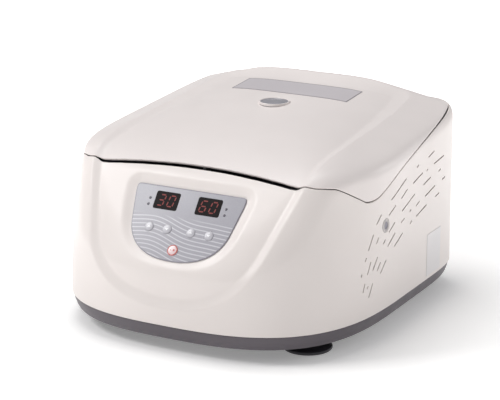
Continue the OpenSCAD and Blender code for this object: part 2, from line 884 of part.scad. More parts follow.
module rear_panel() {
    color("#55555b") difference() {
        block([rear_panel_x - rear_panel_w / 2, rear_panel_x + rear_panel_w / 2],
            [rear_panel_y - 1.5, rear_panel_y], [rear_panel_z - 19, rear_panel_z + 19]);
        block([inlet_x - 14, inlet_x + 14], [0, 300], [rear_panel_z - 10.5, rear_panel_z + 10.5]);
        block([switch_x - 9, switch_x + 9], [0, 300], [rear_panel_z - 13, rear_panel_z + 13]);
    }
}

module power_inlet() {
    color("#1d1d20") difference() {
        union() {
            block([inlet_x - 13.6, inlet_x + 13.6], [rear_y - 26, rear_panel_y + 0.5],
                [rear_panel_z - 10, rear_panel_z + 10]);
            block([inlet_x - 20, inlet_x + 20], [rear_panel_y, rear_panel_y + 2],
                [rear_panel_z - 12.5, rear_panel_z + 12.5]);
        }
        block([inlet_x - 12, inlet_x + 12], [rear_y - 20, 300],
            [rear_panel_z - 8.25, rear_panel_z + 8.25]);
    }
    color("#c8a85a")
        for (p = [[-7, -2], [7, -2], [0, 2]])
            block([inlet_x + p.x - 1, inlet_x + p.x + 1], [rear_y - 24, rear_y - 8],
                [rear_panel_z + p.y - 2, rear_panel_z + p.y + 2]);
}

rocker_y = rear_panel_y - 4;
rocker_tilt = 9;

module switch_frame() {
    color("#1d1d20") difference() {
        union() {
            block([switch_x - 8.6, switch_x + 8.6], [rear_y - 26, rear_panel_y + 0.5],
                [rear_panel_z - 12.6, rear_panel_z + 12.6]);
            block([switch_x - 11, switch_x + 11], [rear_panel_y, rear_panel_y + 1.6],
                [rear_panel_z - 15, rear_panel_z + 15]);
        }
        block([switch_x - 7, switch_x + 7], [rear_y - 18, 300],
            [rear_panel_z - 11.4, rear_panel_z + 11.4]);
    }
    color("#b9bcc0") translate([switch_x - 7.8, rocker_y, rear_panel_z]) rotate([0, 90, 0])
        cylinder(r = 1.4, h = 15.6, $fn = 32);
}

module power_rocker() {
    color("#26262a") translate([switch_x, rocker_y, rear_panel_z]) difference() {
        translate([-6.6, 0, 0]) rotate([90, 0, 90]) linear_extrude(13.2) rotate(rocker_tilt)
            polygon([[-7, -4], [-2, -8], [6.2, -9.5], [4.6, 0], [6.2, 9.5], [-2, 8], [-7, 4]]);
        translate([-20, 0, 0]) rotate([0, 90, 0]) cylinder(r = 1.4 + running_fit, h = 40, $fn = 32);
    }
}

module place() {
    translate([0, rotor_y, 0]) children();
}

place() {
    base_pan();
    feet();
    foot_screws();
    housing();
    housing_screws();
    deck();
    deck_screws();
    chamber_bowl();
    bowl_gasket();
    shaft_gaiter();
    motor_housing();
    motor_plate();
    motor_bearings();
    motor_dampers();
    drive_shaft();
    rotor_yoke();
    rotor_nut();
    trunnion_pins();
    carrier_left();
    carrier_right();
    panel_membrane();
    display_speed();
    display_time();
    indicator_lamps();
    button_speed_down();
    button_speed_up();
    button_time_down();
    button_time_up();
    button_start();
    control_board();
    driver_board();
    board_posts();
    latch_frame();
    latch_solenoid();
    latch_bolt();
    latch_hook();
    lid_shell();
    lid_liner();
    lid_screws();
    sight_glass();
    info_plate();
    hinge_arms();
    hinge_brackets();
    hinge_pins();
    release_plug();
    rear_panel();
    power_inlet();
    switch_frame();
    power_rocker();
    rating_plate();
}
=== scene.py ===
"""Looks of the benchtop microplate centrifuge: moulded shells, control panel, metalwork and studio."""

import math

import bmesh
import bpy
import numpy as np
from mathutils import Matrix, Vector


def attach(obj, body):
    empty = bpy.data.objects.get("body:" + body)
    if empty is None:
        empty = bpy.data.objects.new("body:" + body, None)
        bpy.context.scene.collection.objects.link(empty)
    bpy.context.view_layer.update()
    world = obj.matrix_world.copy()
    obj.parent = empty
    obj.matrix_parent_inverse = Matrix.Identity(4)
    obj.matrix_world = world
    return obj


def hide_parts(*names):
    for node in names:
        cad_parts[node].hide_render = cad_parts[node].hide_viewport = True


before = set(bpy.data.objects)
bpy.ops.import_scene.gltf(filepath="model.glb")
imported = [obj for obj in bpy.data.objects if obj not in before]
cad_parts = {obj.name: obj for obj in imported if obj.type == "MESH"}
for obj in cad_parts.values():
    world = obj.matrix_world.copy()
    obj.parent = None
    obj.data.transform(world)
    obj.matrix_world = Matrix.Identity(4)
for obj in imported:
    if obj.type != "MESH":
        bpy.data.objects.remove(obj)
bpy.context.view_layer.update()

# Driving sizes, in millimetres, measured from the rotor axis: x across, y to the rear, z up
BODY_W = 368.0
BODY_D = 403.0
BODY_H = 246.0
CROWN_Z = 235.0
AXIS_TO_REAR = 154.0
BASE_TOP = 31.5
FOOT_H = 14.0
WALL = 3.0
SHIELD_DEPTH = 4.5
PANEL_PROUD = 1.6
PANEL_TILT = math.radians(36.3)
PANEL_Z = 155.4
PANEL_SETBACK = 52.5
HINGE_BAR_R = 14.0
SIGHT_R = 17.5
HALF_W = BODY_W / 2
FRONT_Y = AXIS_TO_REAR - BODY_D
REAR_Y = AXIS_TO_REAR
ROTOR_Y = -(FRONT_Y + REAR_Y) / 2
PLAN_Y = FRONT_Y + 190.0
HINGE_Y = REAR_Y - HINGE_BAR_R
HINGE_Z = CROWN_Z - 13.0 - HINGE_BAR_R
MM = 0.001


# Camera: one lens and place, worked out from points of the object that are symmetric in pairs
CAMERA_PLACE = (1.0741, -1.9758 + ROTOR_Y * MM, 0.7495)
CAMERA_BACK = (0.4700, -0.8393, 0.2732)
LENS = 143.8


def add_camera():
    data = bpy.data.cameras.new("view")
    data.lens = LENS
    data.sensor_width = 36.0
    data.clip_start = 0.1
    camera = bpy.data.objects.new("view", data)
    camera.location = CAMERA_PLACE
    camera.rotation_euler = Vector(CAMERA_BACK).to_track_quat("Z", "Y").to_euler()
    bpy.context.scene.collection.objects.link(camera)
    bpy.context.scene.camera = camera


add_camera()


# Colours and node helpers
def colour(hex_code, alpha=1.0):
    """An sRGB hex code as linear values."""
    parts = [int(hex_code[i:i + 2], 16) / 255 for i in (1, 3, 5)]
    linear = [c / 12.92 if c <= 0.04045 else ((c + 0.055) / 1.055) ** 2.4 for c in parts]
    return (*linear, alpha)


def add_node(tree, kind, settings=None, **inputs):
    """Adds a node; inputs are values, or sockets to link from."""
    node = tree.nodes.new(kind)
    for key, value in (settings or {}).items():
        setattr(node, key, value)
    for key, value in inputs.items():
        name = key.replace("_", " ")
        socket = node.inputs[int(key[1:])] if key[0] == "i" and key[1:].isdigit() else node.inputs[name]
        if isinstance(value, bpy.types.NodeSocket):
            tree.links.new(value, socket)
        else:
            socket.default_value = value
    return node


def start_material(name):
    material = bpy.data.materials.new(name)
    material.use_nodes = True
    tree = material.node_tree
    tree.nodes.clear()
    output = tree.nodes.new("ShaderNodeOutputMaterial")
    shader = tree.nodes.new("ShaderNodeBsdfPrincipled")
    tree.links.new(shader.outputs["BSDF"], output.inputs["Surface"])
    return material, tree, shader


def object_space(tree):
    return add_node(tree, "ShaderNodeTexCoord").outputs["Object"]


def noise(tree, vector, scale, detail=3.0, rough=0.5):
    made = add_node(tree, "ShaderNodeTexNoise", Vector=vector, Scale=scale, Detail=detail,
                    Roughness=rough)
    return made.outputs["Fac"]


def ramp(tree, value, low, high, to_low=0.0, to_high=1.0, smooth=True):
    kind = "SMOOTHSTEP" if smooth else "LINEAR"
    made = add_node(tree, "ShaderNodeMapRange", {"interpolation_type": kind}, Value=value,
                    i1=low, i2=high, i3=to_low, i4=to_high)
    return made.outputs["Result"]


def sums(tree, operation, first, second=0.0, third=0.0):
    made = add_node(tree, "ShaderNodeMath", {"operation": operation}, i0=first, i1=second, i2=third)
    return made.outputs["Value"]


def blend_colour(tree, share, first, second):
    made = add_node(tree, "ShaderNodeMix", {"data_type": "RGBA"})
    for socket, value in ((0, share), (6, first), (7, second)):
        if isinstance(value, bpy.types.NodeSocket):
            tree.links.new(value, made.inputs[socket])
        else:
            made.inputs[socket].default_value = value
    return made.outputs[2]


def bump(tree, shader, height, distance, strength=1.0):
    made = add_node(tree, "ShaderNodeBump", Height=height, Distance=distance, Strength=strength)
    tree.links.new(made.outputs["Normal"], shader.inputs["Normal"])


def set_shader(shader, **values):
    for key, value in values.items():
        shader.inputs[key.replace("_", " ")].default_value = value


# Materials, each named by what it is made of, and by the painted shade where a colour stands in for it
def moulded_plastic(name, base, dust, roughness, grain_depth=0.00004, coat=0.0, grain=900.0):
    """Injection-moulded plastic: slight tone changes, a fine grain and soft gloss."""
    material, tree, shader = start_material(name)
    place = object_space(tree)
    broad = noise(tree, place, 9.0, 2.0)
    tone = blend_colour(tree, ramp(tree, broad, 0.3, 0.7), colour(base), colour(dust))
    tree.links.new(tone, shader.inputs["Base Color"])
    fine = noise(tree, place, grain, 2.0)
    patch = noise(tree, place, 40.0, 3.0)
    tree.links.new(ramp(tree, patch, 0.3, 0.7, roughness - 0.03, roughness + 0.04),
                   shader.inputs["Roughness"])
    bump(tree, shader, fine, grain_depth, 0.5)
    set_shader(shader, Coat_Weight=coat, Coat_Roughness=0.12, IOR=1.5)
    return material


def metal(name, base, streak, roughness, stretch=(1.0, 1.0, 1.0), streaks=500.0, spread=0.08):
    """Bare metal with directional streaks left by machining, rolling or brushing."""
    material, tree, shader = start_material(name)
    mapping = add_node(tree, "ShaderNodeMapping", Vector=object_space(tree), Scale=stretch)
    line = noise(tree, mapping.outputs["Vector"], streaks, 4.0, 0.6)
    tone = blend_colour(tree, ramp(tree, line, 0.35, 0.65), colour(base), colour(streak))
    tree.links.new(tone, shader.inputs["Base Color"])
    tree.links.new(ramp(tree, line, 0.3, 0.7, roughness, roughness + spread),
                   shader.inputs["Roughness"])
    bump(tree, shader, line, 0.00002, 0.4)
    set_shader(shader, Metallic=1.0)
    return material


def spun_metal(name, base, streak, roughness):
    """Sheet spun on a lathe: rings about the rotor axis."""
    material, tree, shader = start_material(name)
    place = add_node(tree, "ShaderNodeMapping", Vector=object_space(tree),
                     Location=(0.0, -ROTOR_Y * MM, 0.0))
    parts = add_node(tree, "ShaderNodeSeparateXYZ", Vector=place.outputs["Vector"])
    across = sums(tree, "POWER", parts.outputs["X"], 2.0)
    along = sums(tree, "POWER", parts.outputs["Y"], 2.0)
    radius = sums(tree, "SQRT", sums(tree, "ADD", across, along))
    joined = add_node(tree, "ShaderNodeCombineXYZ", X=radius, Y=parts.outputs["Z"], Z=0.0)
    line = noise(tree, joined.outputs["Vector"], 900.0, 3.0, 0.6)
    tone = blend_colour(tree, ramp(tree, line, 0.3, 0.7), colour(base), colour(streak))
    tree.links.new(tone, shader.inputs["Base Color"])
    tree.links.new(ramp(tree, line, 0.3, 0.7, roughness, roughness + 0.1), shader.inputs["Roughness"])
    bump(tree, shader, line, 0.00003, 0.5)
    set_shader(shader, Metallic=1.0)
    return material


def moulded_rubber(name, base, worn, roughness):
    material, tree, shader = start_material(name)
    place = object_space(tree)
    scuff = noise(tree, place, 60.0, 5.0, 0.65)
    tone = blend_colour(tree, ramp(tree, scuff, 0.45, 0.75), colour(base), colour(worn))
    tree.links.new(tone, shader.inputs["Base Color"])
    tree.links.new(ramp(tree, scuff, 0.3, 0.7, roughness, roughness + 0.15), shader.inputs["Roughness"])
    bump(tree, shader, noise(tree, place, 1200.0, 2.0), 0.00003, 0.5)
    return material


def circuit_board():
    """Green solder mask over copper tracks."""
    material, tree, shader = start_material("solder_mask")
    place = object_space(tree)
    tracks = add_node(tree, "ShaderNodeTexBrick", {"offset": 0.37}, Vector=place, Scale=90.0,
                      Mortar_Size=0.03, Color1=colour("#2f6a3c"), Color2=colour("#2a6137"),
                      Mortar=colour("#6c8f4b"))
    tree.links.new(tracks.outputs["Color"], shader.inputs["Base Color"])
    bump(tree, shader, tracks.outputs["Fac"], 0.0001, 0.4)
    set_shader(shader, Roughness=0.35)
    return material


HOUSING_ABS = moulded_plastic("housing_abs_gloss", "#eee6e2", "#eae2de", 0.42, 0.00002, 0.1)
LID_ABS = moulded_plastic("lid_abs_gloss", "#efe7e4", "#ebe3e0", 0.42, 0.00002, 0.1)
LINER_ABS = moulded_plastic("liner_abs_satin", "#d8d2cf", "#d0cac8", 0.5, 0.00006)
# Painted shade: the deck is coloured dark charcoal so the gap at the lid seam reads as a dark shadow
# line
DECK_PAINTED_SEAM_SHADE = moulded_plastic("deck_abs_painted_seam_shade", "#3b393e", "#363439", 0.5, 0.00006)
TRAY_ABS = moulded_plastic("tray_abs_grey", "#605a60", "#5a545a", 0.42, 0.00006)
BLACK_NYLON = moulded_plastic("black_nylon", "#1f1f22", "#29292c", 0.45, 0.00008)
GREY_KEY_CAP = moulded_plastic("key_cap_grey", "#c3c1c7", "#bcbac0", 0.3, 0.00002, 0.3)
PINK_KEY_CAP = moulded_plastic("key_cap_pink", "#ecd6d6", "#e6cccd", 0.3, 0.00002, 0.3)
KEY_RING_RED = moulded_plastic("key_ring_red", "#cf6f68", "#c56660", 0.35)
KEY_MARK_PALE = moulded_plastic("key_mark_pale", "#efeef0", "#e9e8ea", 0.4)
PLUG_ABS = moulded_plastic("plug_abs_satin", "#c9c3c2", "#c0bab9", 0.4, 0.00004)
LAMP_LENS = moulded_plastic("lamp_lens_dark", "#4a4550", "#433e49", 0.2, 0.00001, 0.5)
POWDER_COAT = moulded_plastic("powder_coat_grey", "#58585e", "#515157", 0.5, 0.0002, 0.0, 500.0)
FOOT_RUBBER = moulded_rubber("foot_rubber", "#38363c", "#4b484f", 0.28)
GASKET_RUBBER = moulded_rubber("gasket_silicone", "#3c3b42", "#46454c", 0.5)
STAINLESS = spun_metal("stainless_spun", "#c4c6c9", "#aeb1b5", 0.24)
ZINC_STEEL = metal("steel_zinc_plated", "#bfc1c4", "#a9abb0", 0.28)
SHEET_STEEL = metal("steel_sheet_rolled", "#aaadb1", "#989ba0", 0.36, (1.0, 12.0, 12.0))
MOTOR_ALLOY = metal("aluminium_cast", "#909399", "#7f8288", 0.5, (1.0, 1.0, 1.0), 260.0, 0.15)
ROTOR_ALLOY = metal("aluminium_anodised_dark", "#505258", "#45474d", 0.38, (1.0, 1.0, 6.0))
CARRIER_ALLOY = metal("aluminium_anodised_clear", "#a6a9af", "#94979d", 0.34, (1.0, 10.0, 1.0))
SOLDER_MASK = circuit_board()


def assign(node_names, material):
    for name in node_names:
        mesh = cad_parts[name].data
        mesh.materials.clear()
        mesh.materials.append(material)


assign(["lid_liner"], LINER_ABS)
# The deck gets the dark colour that paints the shade in the seam gap
assign(["deck"], DECK_PAINTED_SEAM_SHADE)
assign(["chamber_bowl"], STAINLESS)
assign(["bowl_gasket"], GASKET_RUBBER)
assign(["shaft_gaiter", "motor_dampers"], FOOT_RUBBER)
assign(["motor_housing"], MOTOR_ALLOY)
assign(["motor_plate", "latch_frame", "hinge_brackets"], SHEET_STEEL)
assign(["rotor_yoke", "hinge_arms"], ROTOR_ALLOY)
assign(["carrier_left", "carrier_right"], CARRIER_ALLOY)
assign(["control_board", "driver_board"], SOLDER_MASK)
assign(["latch_solenoid", "power_inlet", "switch_frame", "power_rocker"], BLACK_NYLON)
assign(["rear_panel"], POWDER_COAT)
assign(["foot_screws", "housing_screws", "deck_screws", "motor_bearings", "drive_shaft", "rotor_nut",
        "trunnion_pins", "board_posts", "latch_bolt", "latch_hook", "lid_screws", "hinge_pins"],
       ZINC_STEEL)


# Meshes
def to_frame(points):
    """Millimetres about the rotor axis to metres in the shared frame."""
    return (np.asarray(points, float) + (0.0, ROTOR_Y, 0.0)) * MM


def make_mesh(name, points, faces, material, smooth=True):
    mesh = bpy.data.meshes.new(name)
    mesh.from_pydata([tuple(p) for p in to_frame(points)], [], [tuple(f) for f in faces])
    mesh.materials.append(material)
    if smooth:
        mesh.shade_smooth()
    piece = bpy.data.objects.new(name, mesh)
    bpy.context.scene.collection.objects.link(piece)
    return piece


def stand_for(piece, body, *nodes):
    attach(piece, body)
    if nodes:
        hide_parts(*nodes)


def grid_faces(rows, columns, closed_rows=False):
    """Quads of a grid whose columns close into a ring."""
    faces = []
    for r in range(rows if closed_rows else rows - 1):
        s = (r + 1) % rows
        for c in range(columns):
            d = (c + 1) % columns
            faces.append((r * columns + c, r * columns + d, s * columns + d, s * columns + c))
    return faces


def bezier(a, b, c, d, count):
    t = np.linspace(0, 1, count)[:, None]
    a, b, c, d = (np.array(p, float) for p in (a, b, c, d))
    return a * (1 - t) ** 3 + 3 * b * t * (1 - t) ** 2 + 3 * c * t * t * (1 - t) + d * t ** 3


PANEL_UP = np.array([math.sin(PANEL_TILT), math.cos(PANEL_TILT)])
PANEL_OUT = np.array([-math.cos(PANEL_TILT), math.sin(PANEL_TILT)])
PANEL_AT = np.array([FRONT_Y + PANEL_SETBACK, PANEL_Z])


def panel_coordinates(points):
    """Across, up and out from the panel, for points about the rotor axis."""
    rest = points[..., 1:] - PANEL_AT
    return points[..., 0], rest @ PANEL_UP, rest @ PANEL_OUT


def on_panel(x, h, n):
    """Points given across, up and out from the panel, about the rotor axis."""
    x, h, n = np.broadcast_arrays(*(np.asarray(v, float) for v in (x, h, n)))
    yz = PANEL_AT + h[..., None] * PANEL_UP + n[..., None] * PANEL_OUT
    return np.concatenate([x[..., None], yz], -1)


def ease(t):
    t = np.clip(t, 0, 1)
    return t * t * (3 - 2 * t)


# The outer form, as a distance that is below zero inside
PANEL_LOW_EDGE = 72.0
PANEL_TOP_EDGE = 29.0
BAR_END = math.radians(100)
FRONT_LEAN = math.radians(4.3)
CORNER_POWER = 2.8
CORNER_POWER_DROP = 0.7
CORNER_RISE = 165.0
REAR_POWER = 8.0
REAR_TAPER = 0.03
LOW_BLEND = 5.0
BLEND_GROWTH = 19.0
ROOF_BLEND = 12.0


def convex_distance(outline, u, v):
    """Signed distance to a convex anticlockwise outline."""
    far = np.full(u.shape, -1e9)
    for (ax, ay), (bx, by) in zip(outline, np.roll(outline, -1, 0)):
        length = math.hypot(bx - ax, by - ay)
        if length > 1e-6:
            far = np.maximum(far, ((u - ax) * (by - ay) - (v - ay) * (bx - ax)) / length)
    return far


def side_outline():
    low = PANEL_AT - PANEL_LOW_EDGE * PANEL_UP + (SHIELD_DEPTH + PANEL_PROUD) * PANEL_OUT
    high = PANEL_AT + PANEL_TOP_EDGE * PANEL_UP + (SHIELD_DEPTH + PANEL_PROUD) * PANEL_OUT
    notch = (HINGE_Y + HINGE_BAR_R * math.cos(BAR_END), HINGE_Z + HINGE_BAR_R * math.sin(BAR_END))
    return np.concatenate([
        [(FRONT_Y - 12, -60.0), (REAR_Y + 12, -60.0), (REAR_Y + 12, HINGE_Z - 70)],
        [(REAR_Y, HINGE_Z), notch],
        bezier((REAR_Y - 20, BODY_H - 10), (REAR_Y - 21, BODY_H - 3), (REAR_Y - 26, BODY_H),
               (REAR_Y - 34, BODY_H), 6),
        bezier((10, CROWN_Z), (-80, CROWN_Z - 8), (-163, 209), high, 40),
        bezier(low, low - 18 * PANEL_UP, (FRONT_Y - 4, BASE_TOP + 40), (FRONT_Y - 12, BASE_TOP), 16)])


def front_outline():
    half = np.concatenate([
        [(HALF_W + 16, -60.0), (HALF_W + 16, 198.2)],
        bezier((HALF_W - 76, 226.8), (HALF_W - 96, 233), (66, BODY_H - 4), (30, BODY_H - 2), 10)])
    return np.concatenate([half, half[::-1] * (-1, 1)])


SIDE_OUTLINE = side_outline()
FRONT_OUTLINE = front_outline()


def smooth_max(a, b, width):
    near = np.maximum(width - np.abs(a - b), 0)
    return np.maximum(a, b) + near * near / (4 * width)


def plan_distance(x, y, z):
    """Distance from the plan, measured along the line from the middle of the curves.

    The front corners are full at the base and rounder towards the lid."""
    ahead = y < PLAN_Y
    rise = ease((z - BASE_TOP - 10) / CORNER_RISE)
    power = np.where(ahead, CORNER_POWER - CORNER_POWER_DROP * rise, REAR_POWER)
    half = np.where(ahead, HALF_W, HALF_W - REAR_TAPER * (y - PLAN_Y))
    reach = np.where(ahead, PLAN_Y - FRONT_Y, REAR_Y - PLAN_Y)
    share = (np.abs(x) / half) ** power + (np.abs(y - PLAN_Y) / reach) ** power
    scale = np.maximum(share, 1e-40) ** (1 / power)
    return np.hypot(x, y - PLAN_Y) * (1 - 1 / scale)


def form_distance(points):
    x, y, z = points[..., 0], points[..., 1], points[..., 2]
    bar = np.hypot(y - HINGE_Y, z - HINGE_Z) - HINGE_BAR_R
    side = np.minimum(convex_distance(SIDE_OUTLINE, y, z), bar)
    lean = -y * math.sin(FRONT_LEAN) + z * math.cos(FRONT_LEAN)
    front = convex_distance(FRONT_OUTLINE, x, lean)
    plan = plan_distance(x, y, z)
    blend = LOW_BLEND + BLEND_GROWTH * ease((z - 70) / 60) * ease((HINGE_Y - 20 - y) / 40)
    return smooth_max(smooth_max(plan, side, blend), front, ROOF_BLEND)


def form_normal(points, step=0.4):
    parts = []
    for axis in np.eye(3) * step:
        parts.append(form_distance(points + axis) - form_distance(points - axis))
    normal = np.stack(parts, -1)
    return normal / np.linalg.norm(normal, axis=-1, keepdims=True)


# Seam between lid and housing, seen from the side
SEAM_FRONT = 186.0
SEAM_LOW = 162.5
SEAM_ARCH = 7.0
SEAM_ARCH_X = 125.0
SEAM_STEP = 3.0
SEAM_STEP_X = 150.0
LID_BAR_ROOM = 2.0


def seam_outline():
    return np.concatenate([
        [(-300, SEAM_FRONT), (FRONT_Y + 80, SEAM_FRONT), (FRONT_Y + 92, SEAM_FRONT - 2)],
        bezier((FRONT_Y + 130, SEAM_LOW), (FRONT_Y + 140, SEAM_LOW - 2),
               (FRONT_Y + 148, SEAM_LOW - 1), (FRONT_Y + 156, SEAM_LOW + 2), 8),
        bezier((FRONT_Y + 170, 170), (-40, 188), (40, 206), (HINGE_Y - 13, HINGE_Z + 10), 20),
        [(300, HINGE_Z + 10)]])


SEAM_OUTLINE = seam_outline()


def above_seam(points, gap):
    """Above zero where the lid is, with its space enlarged by gap."""
    y, z = points[..., 1], points[..., 2]
    arch = SEAM_ARCH * np.maximum(1 - (points[..., 0] / SEAM_ARCH_X) ** 2, 0)
    arch = arch + SEAM_STEP * ease((SEAM_STEP_X - np.abs(points[..., 0])) / 25)
    level = np.interp(y, SEAM_OUTLINE[:, 0], SEAM_OUTLINE[:, 1]) + arch * ease((-130 - y) / 20)
    height = z - level + gap
    room = LID_BAR_ROOM - np.minimum(gap, 1.0)
    bar = np.hypot(y - HINGE_Y, z - HINGE_Z) - (HINGE_BAR_R + room)
    return np.minimum(height, bar)


# Recesses
def outline_distance(outline, x, y):
    """Signed distance to a closed outline, above zero inside."""
    best = np.full(x.shape, 1e9)
    inside = np.zeros(x.shape, bool)
    for (ax, ay), (bx, by) in zip(outline, np.roll(outline, -1, 0)):
        dx, dy = bx - ax, by - ay
        size = dx * dx + dy * dy
        if size < 1e-9:
            continue
        t = np.clip(((x - ax) * dx + (y - ay) * dy) / size, 0, 1)
        best = np.minimum(best, np.hypot(x - ax - t * dx, y - ay - t * dy))
        crosses = (ay > y) != (by > y)
        with np.errstate(divide="ignore", invalid="ignore"):
            inside ^= crosses & (x < dx * (y - ay) / dy + ax)
    return np.where(inside, best, -best)


def mirrored(half):
    half = np.asarray(half, float)
    return np.concatenate([half, half[::-1] * (-1, 1)])


SHIELD = mirrored(np.concatenate([
    bezier((1, -115), (66, -115), (98, -88), (110, -45), 24),
    bezier((115, -30), (124, 0), (135, 36), (136, 60), 10),
    bezier((135, 150), (132, 236), (126, 250), (98, 250), 16)]))
MEMBRANE = mirrored(np.concatenate([
    bezier((1, -67), (36, -67), (57, -52), (62, -27), 20),
    bezier((64.5, -14), (67, 0), (68.4, 6), (68.6, 11), 6),
    bezier((68.6, 13), (68.4, 16), (66, 16.6), (63, 16.6), 6)]))


SHIELD_RIM = 9.5
SHIELD_RIM_GROWTH = 7.0
SHIELD_RIM_CURVE = 1.35
SHIELD_CLEARANCE = 0.9
SIGHT_DISH_R = 25.0
SIGHT_DISH_DEPTH = 0.3
MEMBRANE_FLOOR = -2.3
POCKET_RIM = 13.5


def recess(points, normals):
    """Moves points of the outer form inwards to the shield, the panel pocket and the sight dish."""
    x, h, n = panel_coordinates(points)
    inside = outline_distance(SHIELD, x, h)
    width = SHIELD_RIM + SHIELD_RIM_GROWTH * ease((h - 120) / 100)
    t = np.clip(inside / width, 0, 1)
    depth = (SHIELD_DEPTH + SHIELD_CLEARANCE) * (1 - (1 - t) ** SHIELD_RIM_CURVE)
    from_axis = np.hypot(points[..., 0], points[..., 1])
    on_top = points[..., 2] > CROWN_Z - 20
    dish = SIGHT_DISH_DEPTH * ease((SIGHT_DISH_R - from_axis) / 6.0)
    depth = depth + np.where(on_top, dish, 0)
    moved = points - normals * depth[..., None]
    x, h, n = panel_coordinates(moved)
    near = outline_distance(MEMBRANE, x, h)
    share = 1 - ease(-near / POCKET_RIM)
    share = np.where((points[..., 1] < 0) & (h < 40), share, 0)
    drop = np.maximum(n - MEMBRANE_FLOOR, 0) * share
    moved[..., 1:] -= drop[..., None] * PANEL_OUT
    return moved


# Columns of the shells: profiles of the outer form at even steps round the rotor axis
COLUMNS = 640
HALF_COLUMNS = COLUMNS // 2 + 1
CENTRE_Z = 112.0
SAMPLES = 230
HOUSING_ROWS = 104
LID_ROWS = 118
SEAM_GAP = 1.0
FINGER_GAP = 2.6
FINGER_GAP_X = 134.0
FINGER_GAP_Y = -150.0


def column_profiles():
    """Dense outer profiles of the right half, from below the base to over the sight glass."""
    turn = np.linspace(0, 1, HALF_COLUMNS)
    bearing = np.radians(-90 + 180 * (turn - 0.10 * np.sin(2 * math.pi * turn) / 2))
    rise = np.radians(np.linspace(-40, 90, SAMPLES))
    aim = np.stack([np.cos(bearing)[:, None] * np.cos(rise), np.sin(bearing)[:, None] * np.cos(rise),
                    np.broadcast_to(np.sin(rise), (HALF_COLUMNS, SAMPLES))], -1)
    near = np.full(aim.shape[:2], 40.0)
    far = np.full(aim.shape[:2], 420.0)
    start = np.array([0.0, 0.0, CENTRE_Z])
    for _ in range(20):
        middle = (near + far) / 2
        inside = form_distance(start + aim * middle[..., None]) < 0
        near = np.where(inside, middle, near)
        far = np.where(inside, far, middle)
    return start + aim * ((near + far) / 2)[..., None]


PROFILES = column_profiles()


def resample(profile, start, end, count, bias=None):
    """Points at even steps along a profile between two places given as fractional samples."""
    steps = np.linalg.norm(np.diff(profile, axis=0), axis=1)
    length = np.concatenate([[0], np.cumsum(steps)])
    index = np.arange(len(profile))
    low, high = np.interp([start, end], index, length)
    at = low + (high - low) * (np.linspace(0, 1, count) if bias is None else bias)
    return np.stack([np.interp(at, length, profile[:, k]) for k in range(3)], -1)


def crossing(values):
    """Fractional sample where values first rise above zero."""
    above = int(np.argmax(values > 0))
    low, high = values[above - 1], values[above]
    return above - 1 + -low / (high - low)


def seam_gap(points):
    """The housing's edge stands lower along the front, where the finger gap is."""
    ahead = ease((FINGER_GAP_Y - points[..., 1]) / 16)
    return SEAM_GAP + FINGER_GAP * (ahead * ease((FINGER_GAP_X - np.abs(points[..., 0])) / 14))


def shell_rows(part, rows):
    """Outer rows of the housing or the lid for the right half, row by column."""
    made = []
    for profile in PROFILES:
        base = crossing(profile[:, 2] - BASE_TOP)
        top_values = above_seam(profile, seam_gap(profile) if part == "housing" else 0.0)
        top_values[:int(base) + 2] = -1
        seam = crossing(top_values)
        if part == "housing":
            made.append(resample(profile, base, seam, rows))
        else:
            hole = crossing(SIGHT_R + 0.4 - np.hypot(profile[:, 0], profile[:, 1]))
            made.append(resample(profile, seam, hole, rows))
    return np.array(made).transpose(1, 0, 2)


def full_ring(half):
    """Mirrors columns from front centre to rear centre into a full ring."""
    other = half[:, -2:0:-1] * (-1, 1, 1)
    return np.concatenate([half, other], 1)


def rounded_shell(name, outer, normals, material, edge=1.0, inner_step=6):
    """A closed shell: outer rows, rounded edges at both ends and an inner skin."""
    rows, columns = outer.shape[:2]
    inner_rows = list(range(rows - 1, 0, -inner_step)) + [0]
    inner = (outer - normals * WALL)[inner_rows]
    along_top = outer[-1] - outer[-2]
    along_top /= np.linalg.norm(along_top, axis=-1, keepdims=True)
    along_low = outer[0] - outer[1]
    along_low /= np.linalg.norm(along_low, axis=-1, keepdims=True)
    outer = outer.copy()

    def roll(row, along, normal):
        corner = row - normal * edge
        return [corner + (normal * math.cos(a) + along * math.sin(a)) * edge
                for a in np.radians([0, 30, 60, 90])]

    outer[-1] -= along_top * edge
    outer[0] -= along_low * edge
    inner[0] -= along_top * edge * 0.5
    top = np.array(roll(outer[-1], along_top, normals[-1]))
    low = np.array(roll(outer[0], along_low, normals[0]))[::-1]
    points = np.concatenate([low, outer[1:-1], top, inner])
    faces = grid_faces(len(points), columns, closed_rows=True)
    return make_mesh(name, points.reshape(-1, 3), faces, material)


def build_shell(part, name, rows, material):
    half = shell_rows(part, rows)
    normals = form_normal(half)
    normals[:, 0, 0] = 0
    normals[:, -1, 0] = 0
    outer = full_ring(recess(half, normals))
    return rounded_shell(name, outer, full_ring(normals), material)


def prism(outline, place_low, place_high):
    """Points and faces of a closed prism between two placings of an outline."""
    count = len(outline)
    low, high = place_low(outline), place_high(outline)
    faces = [(i, (i + 1) % count, count + (i + 1) % count, count + i) for i in range(count)]
    faces += [tuple(range(count))[::-1], tuple(range(count, 2 * count))]
    return np.concatenate([low, high]), faces


def joined_mesh(name, parts, material):
    points, faces, start = [], [], 0
    for part_points, part_faces in parts:
        points.append(part_points)
        faces += [tuple(i + start for i in f) for f in part_faces]
        start += len(part_points)
    piece = make_mesh(name, np.concatenate(points), faces, material, smooth=False)
    work = bmesh.new()
    work.from_mesh(piece.data)
    bmesh.ops.recalc_face_normals(work, faces=work.faces)
    work.to_mesh(piece.data)
    work.free()
    return piece


def inset_outline(outline, depth):
    along = np.roll(outline, -1, 0) - np.roll(outline, 1, 0)
    along /= np.maximum(np.linalg.norm(along, axis=1, keepdims=True), 1e-9)
    return outline + np.stack([-along[:, 1], along[:, 0]], 1) * depth


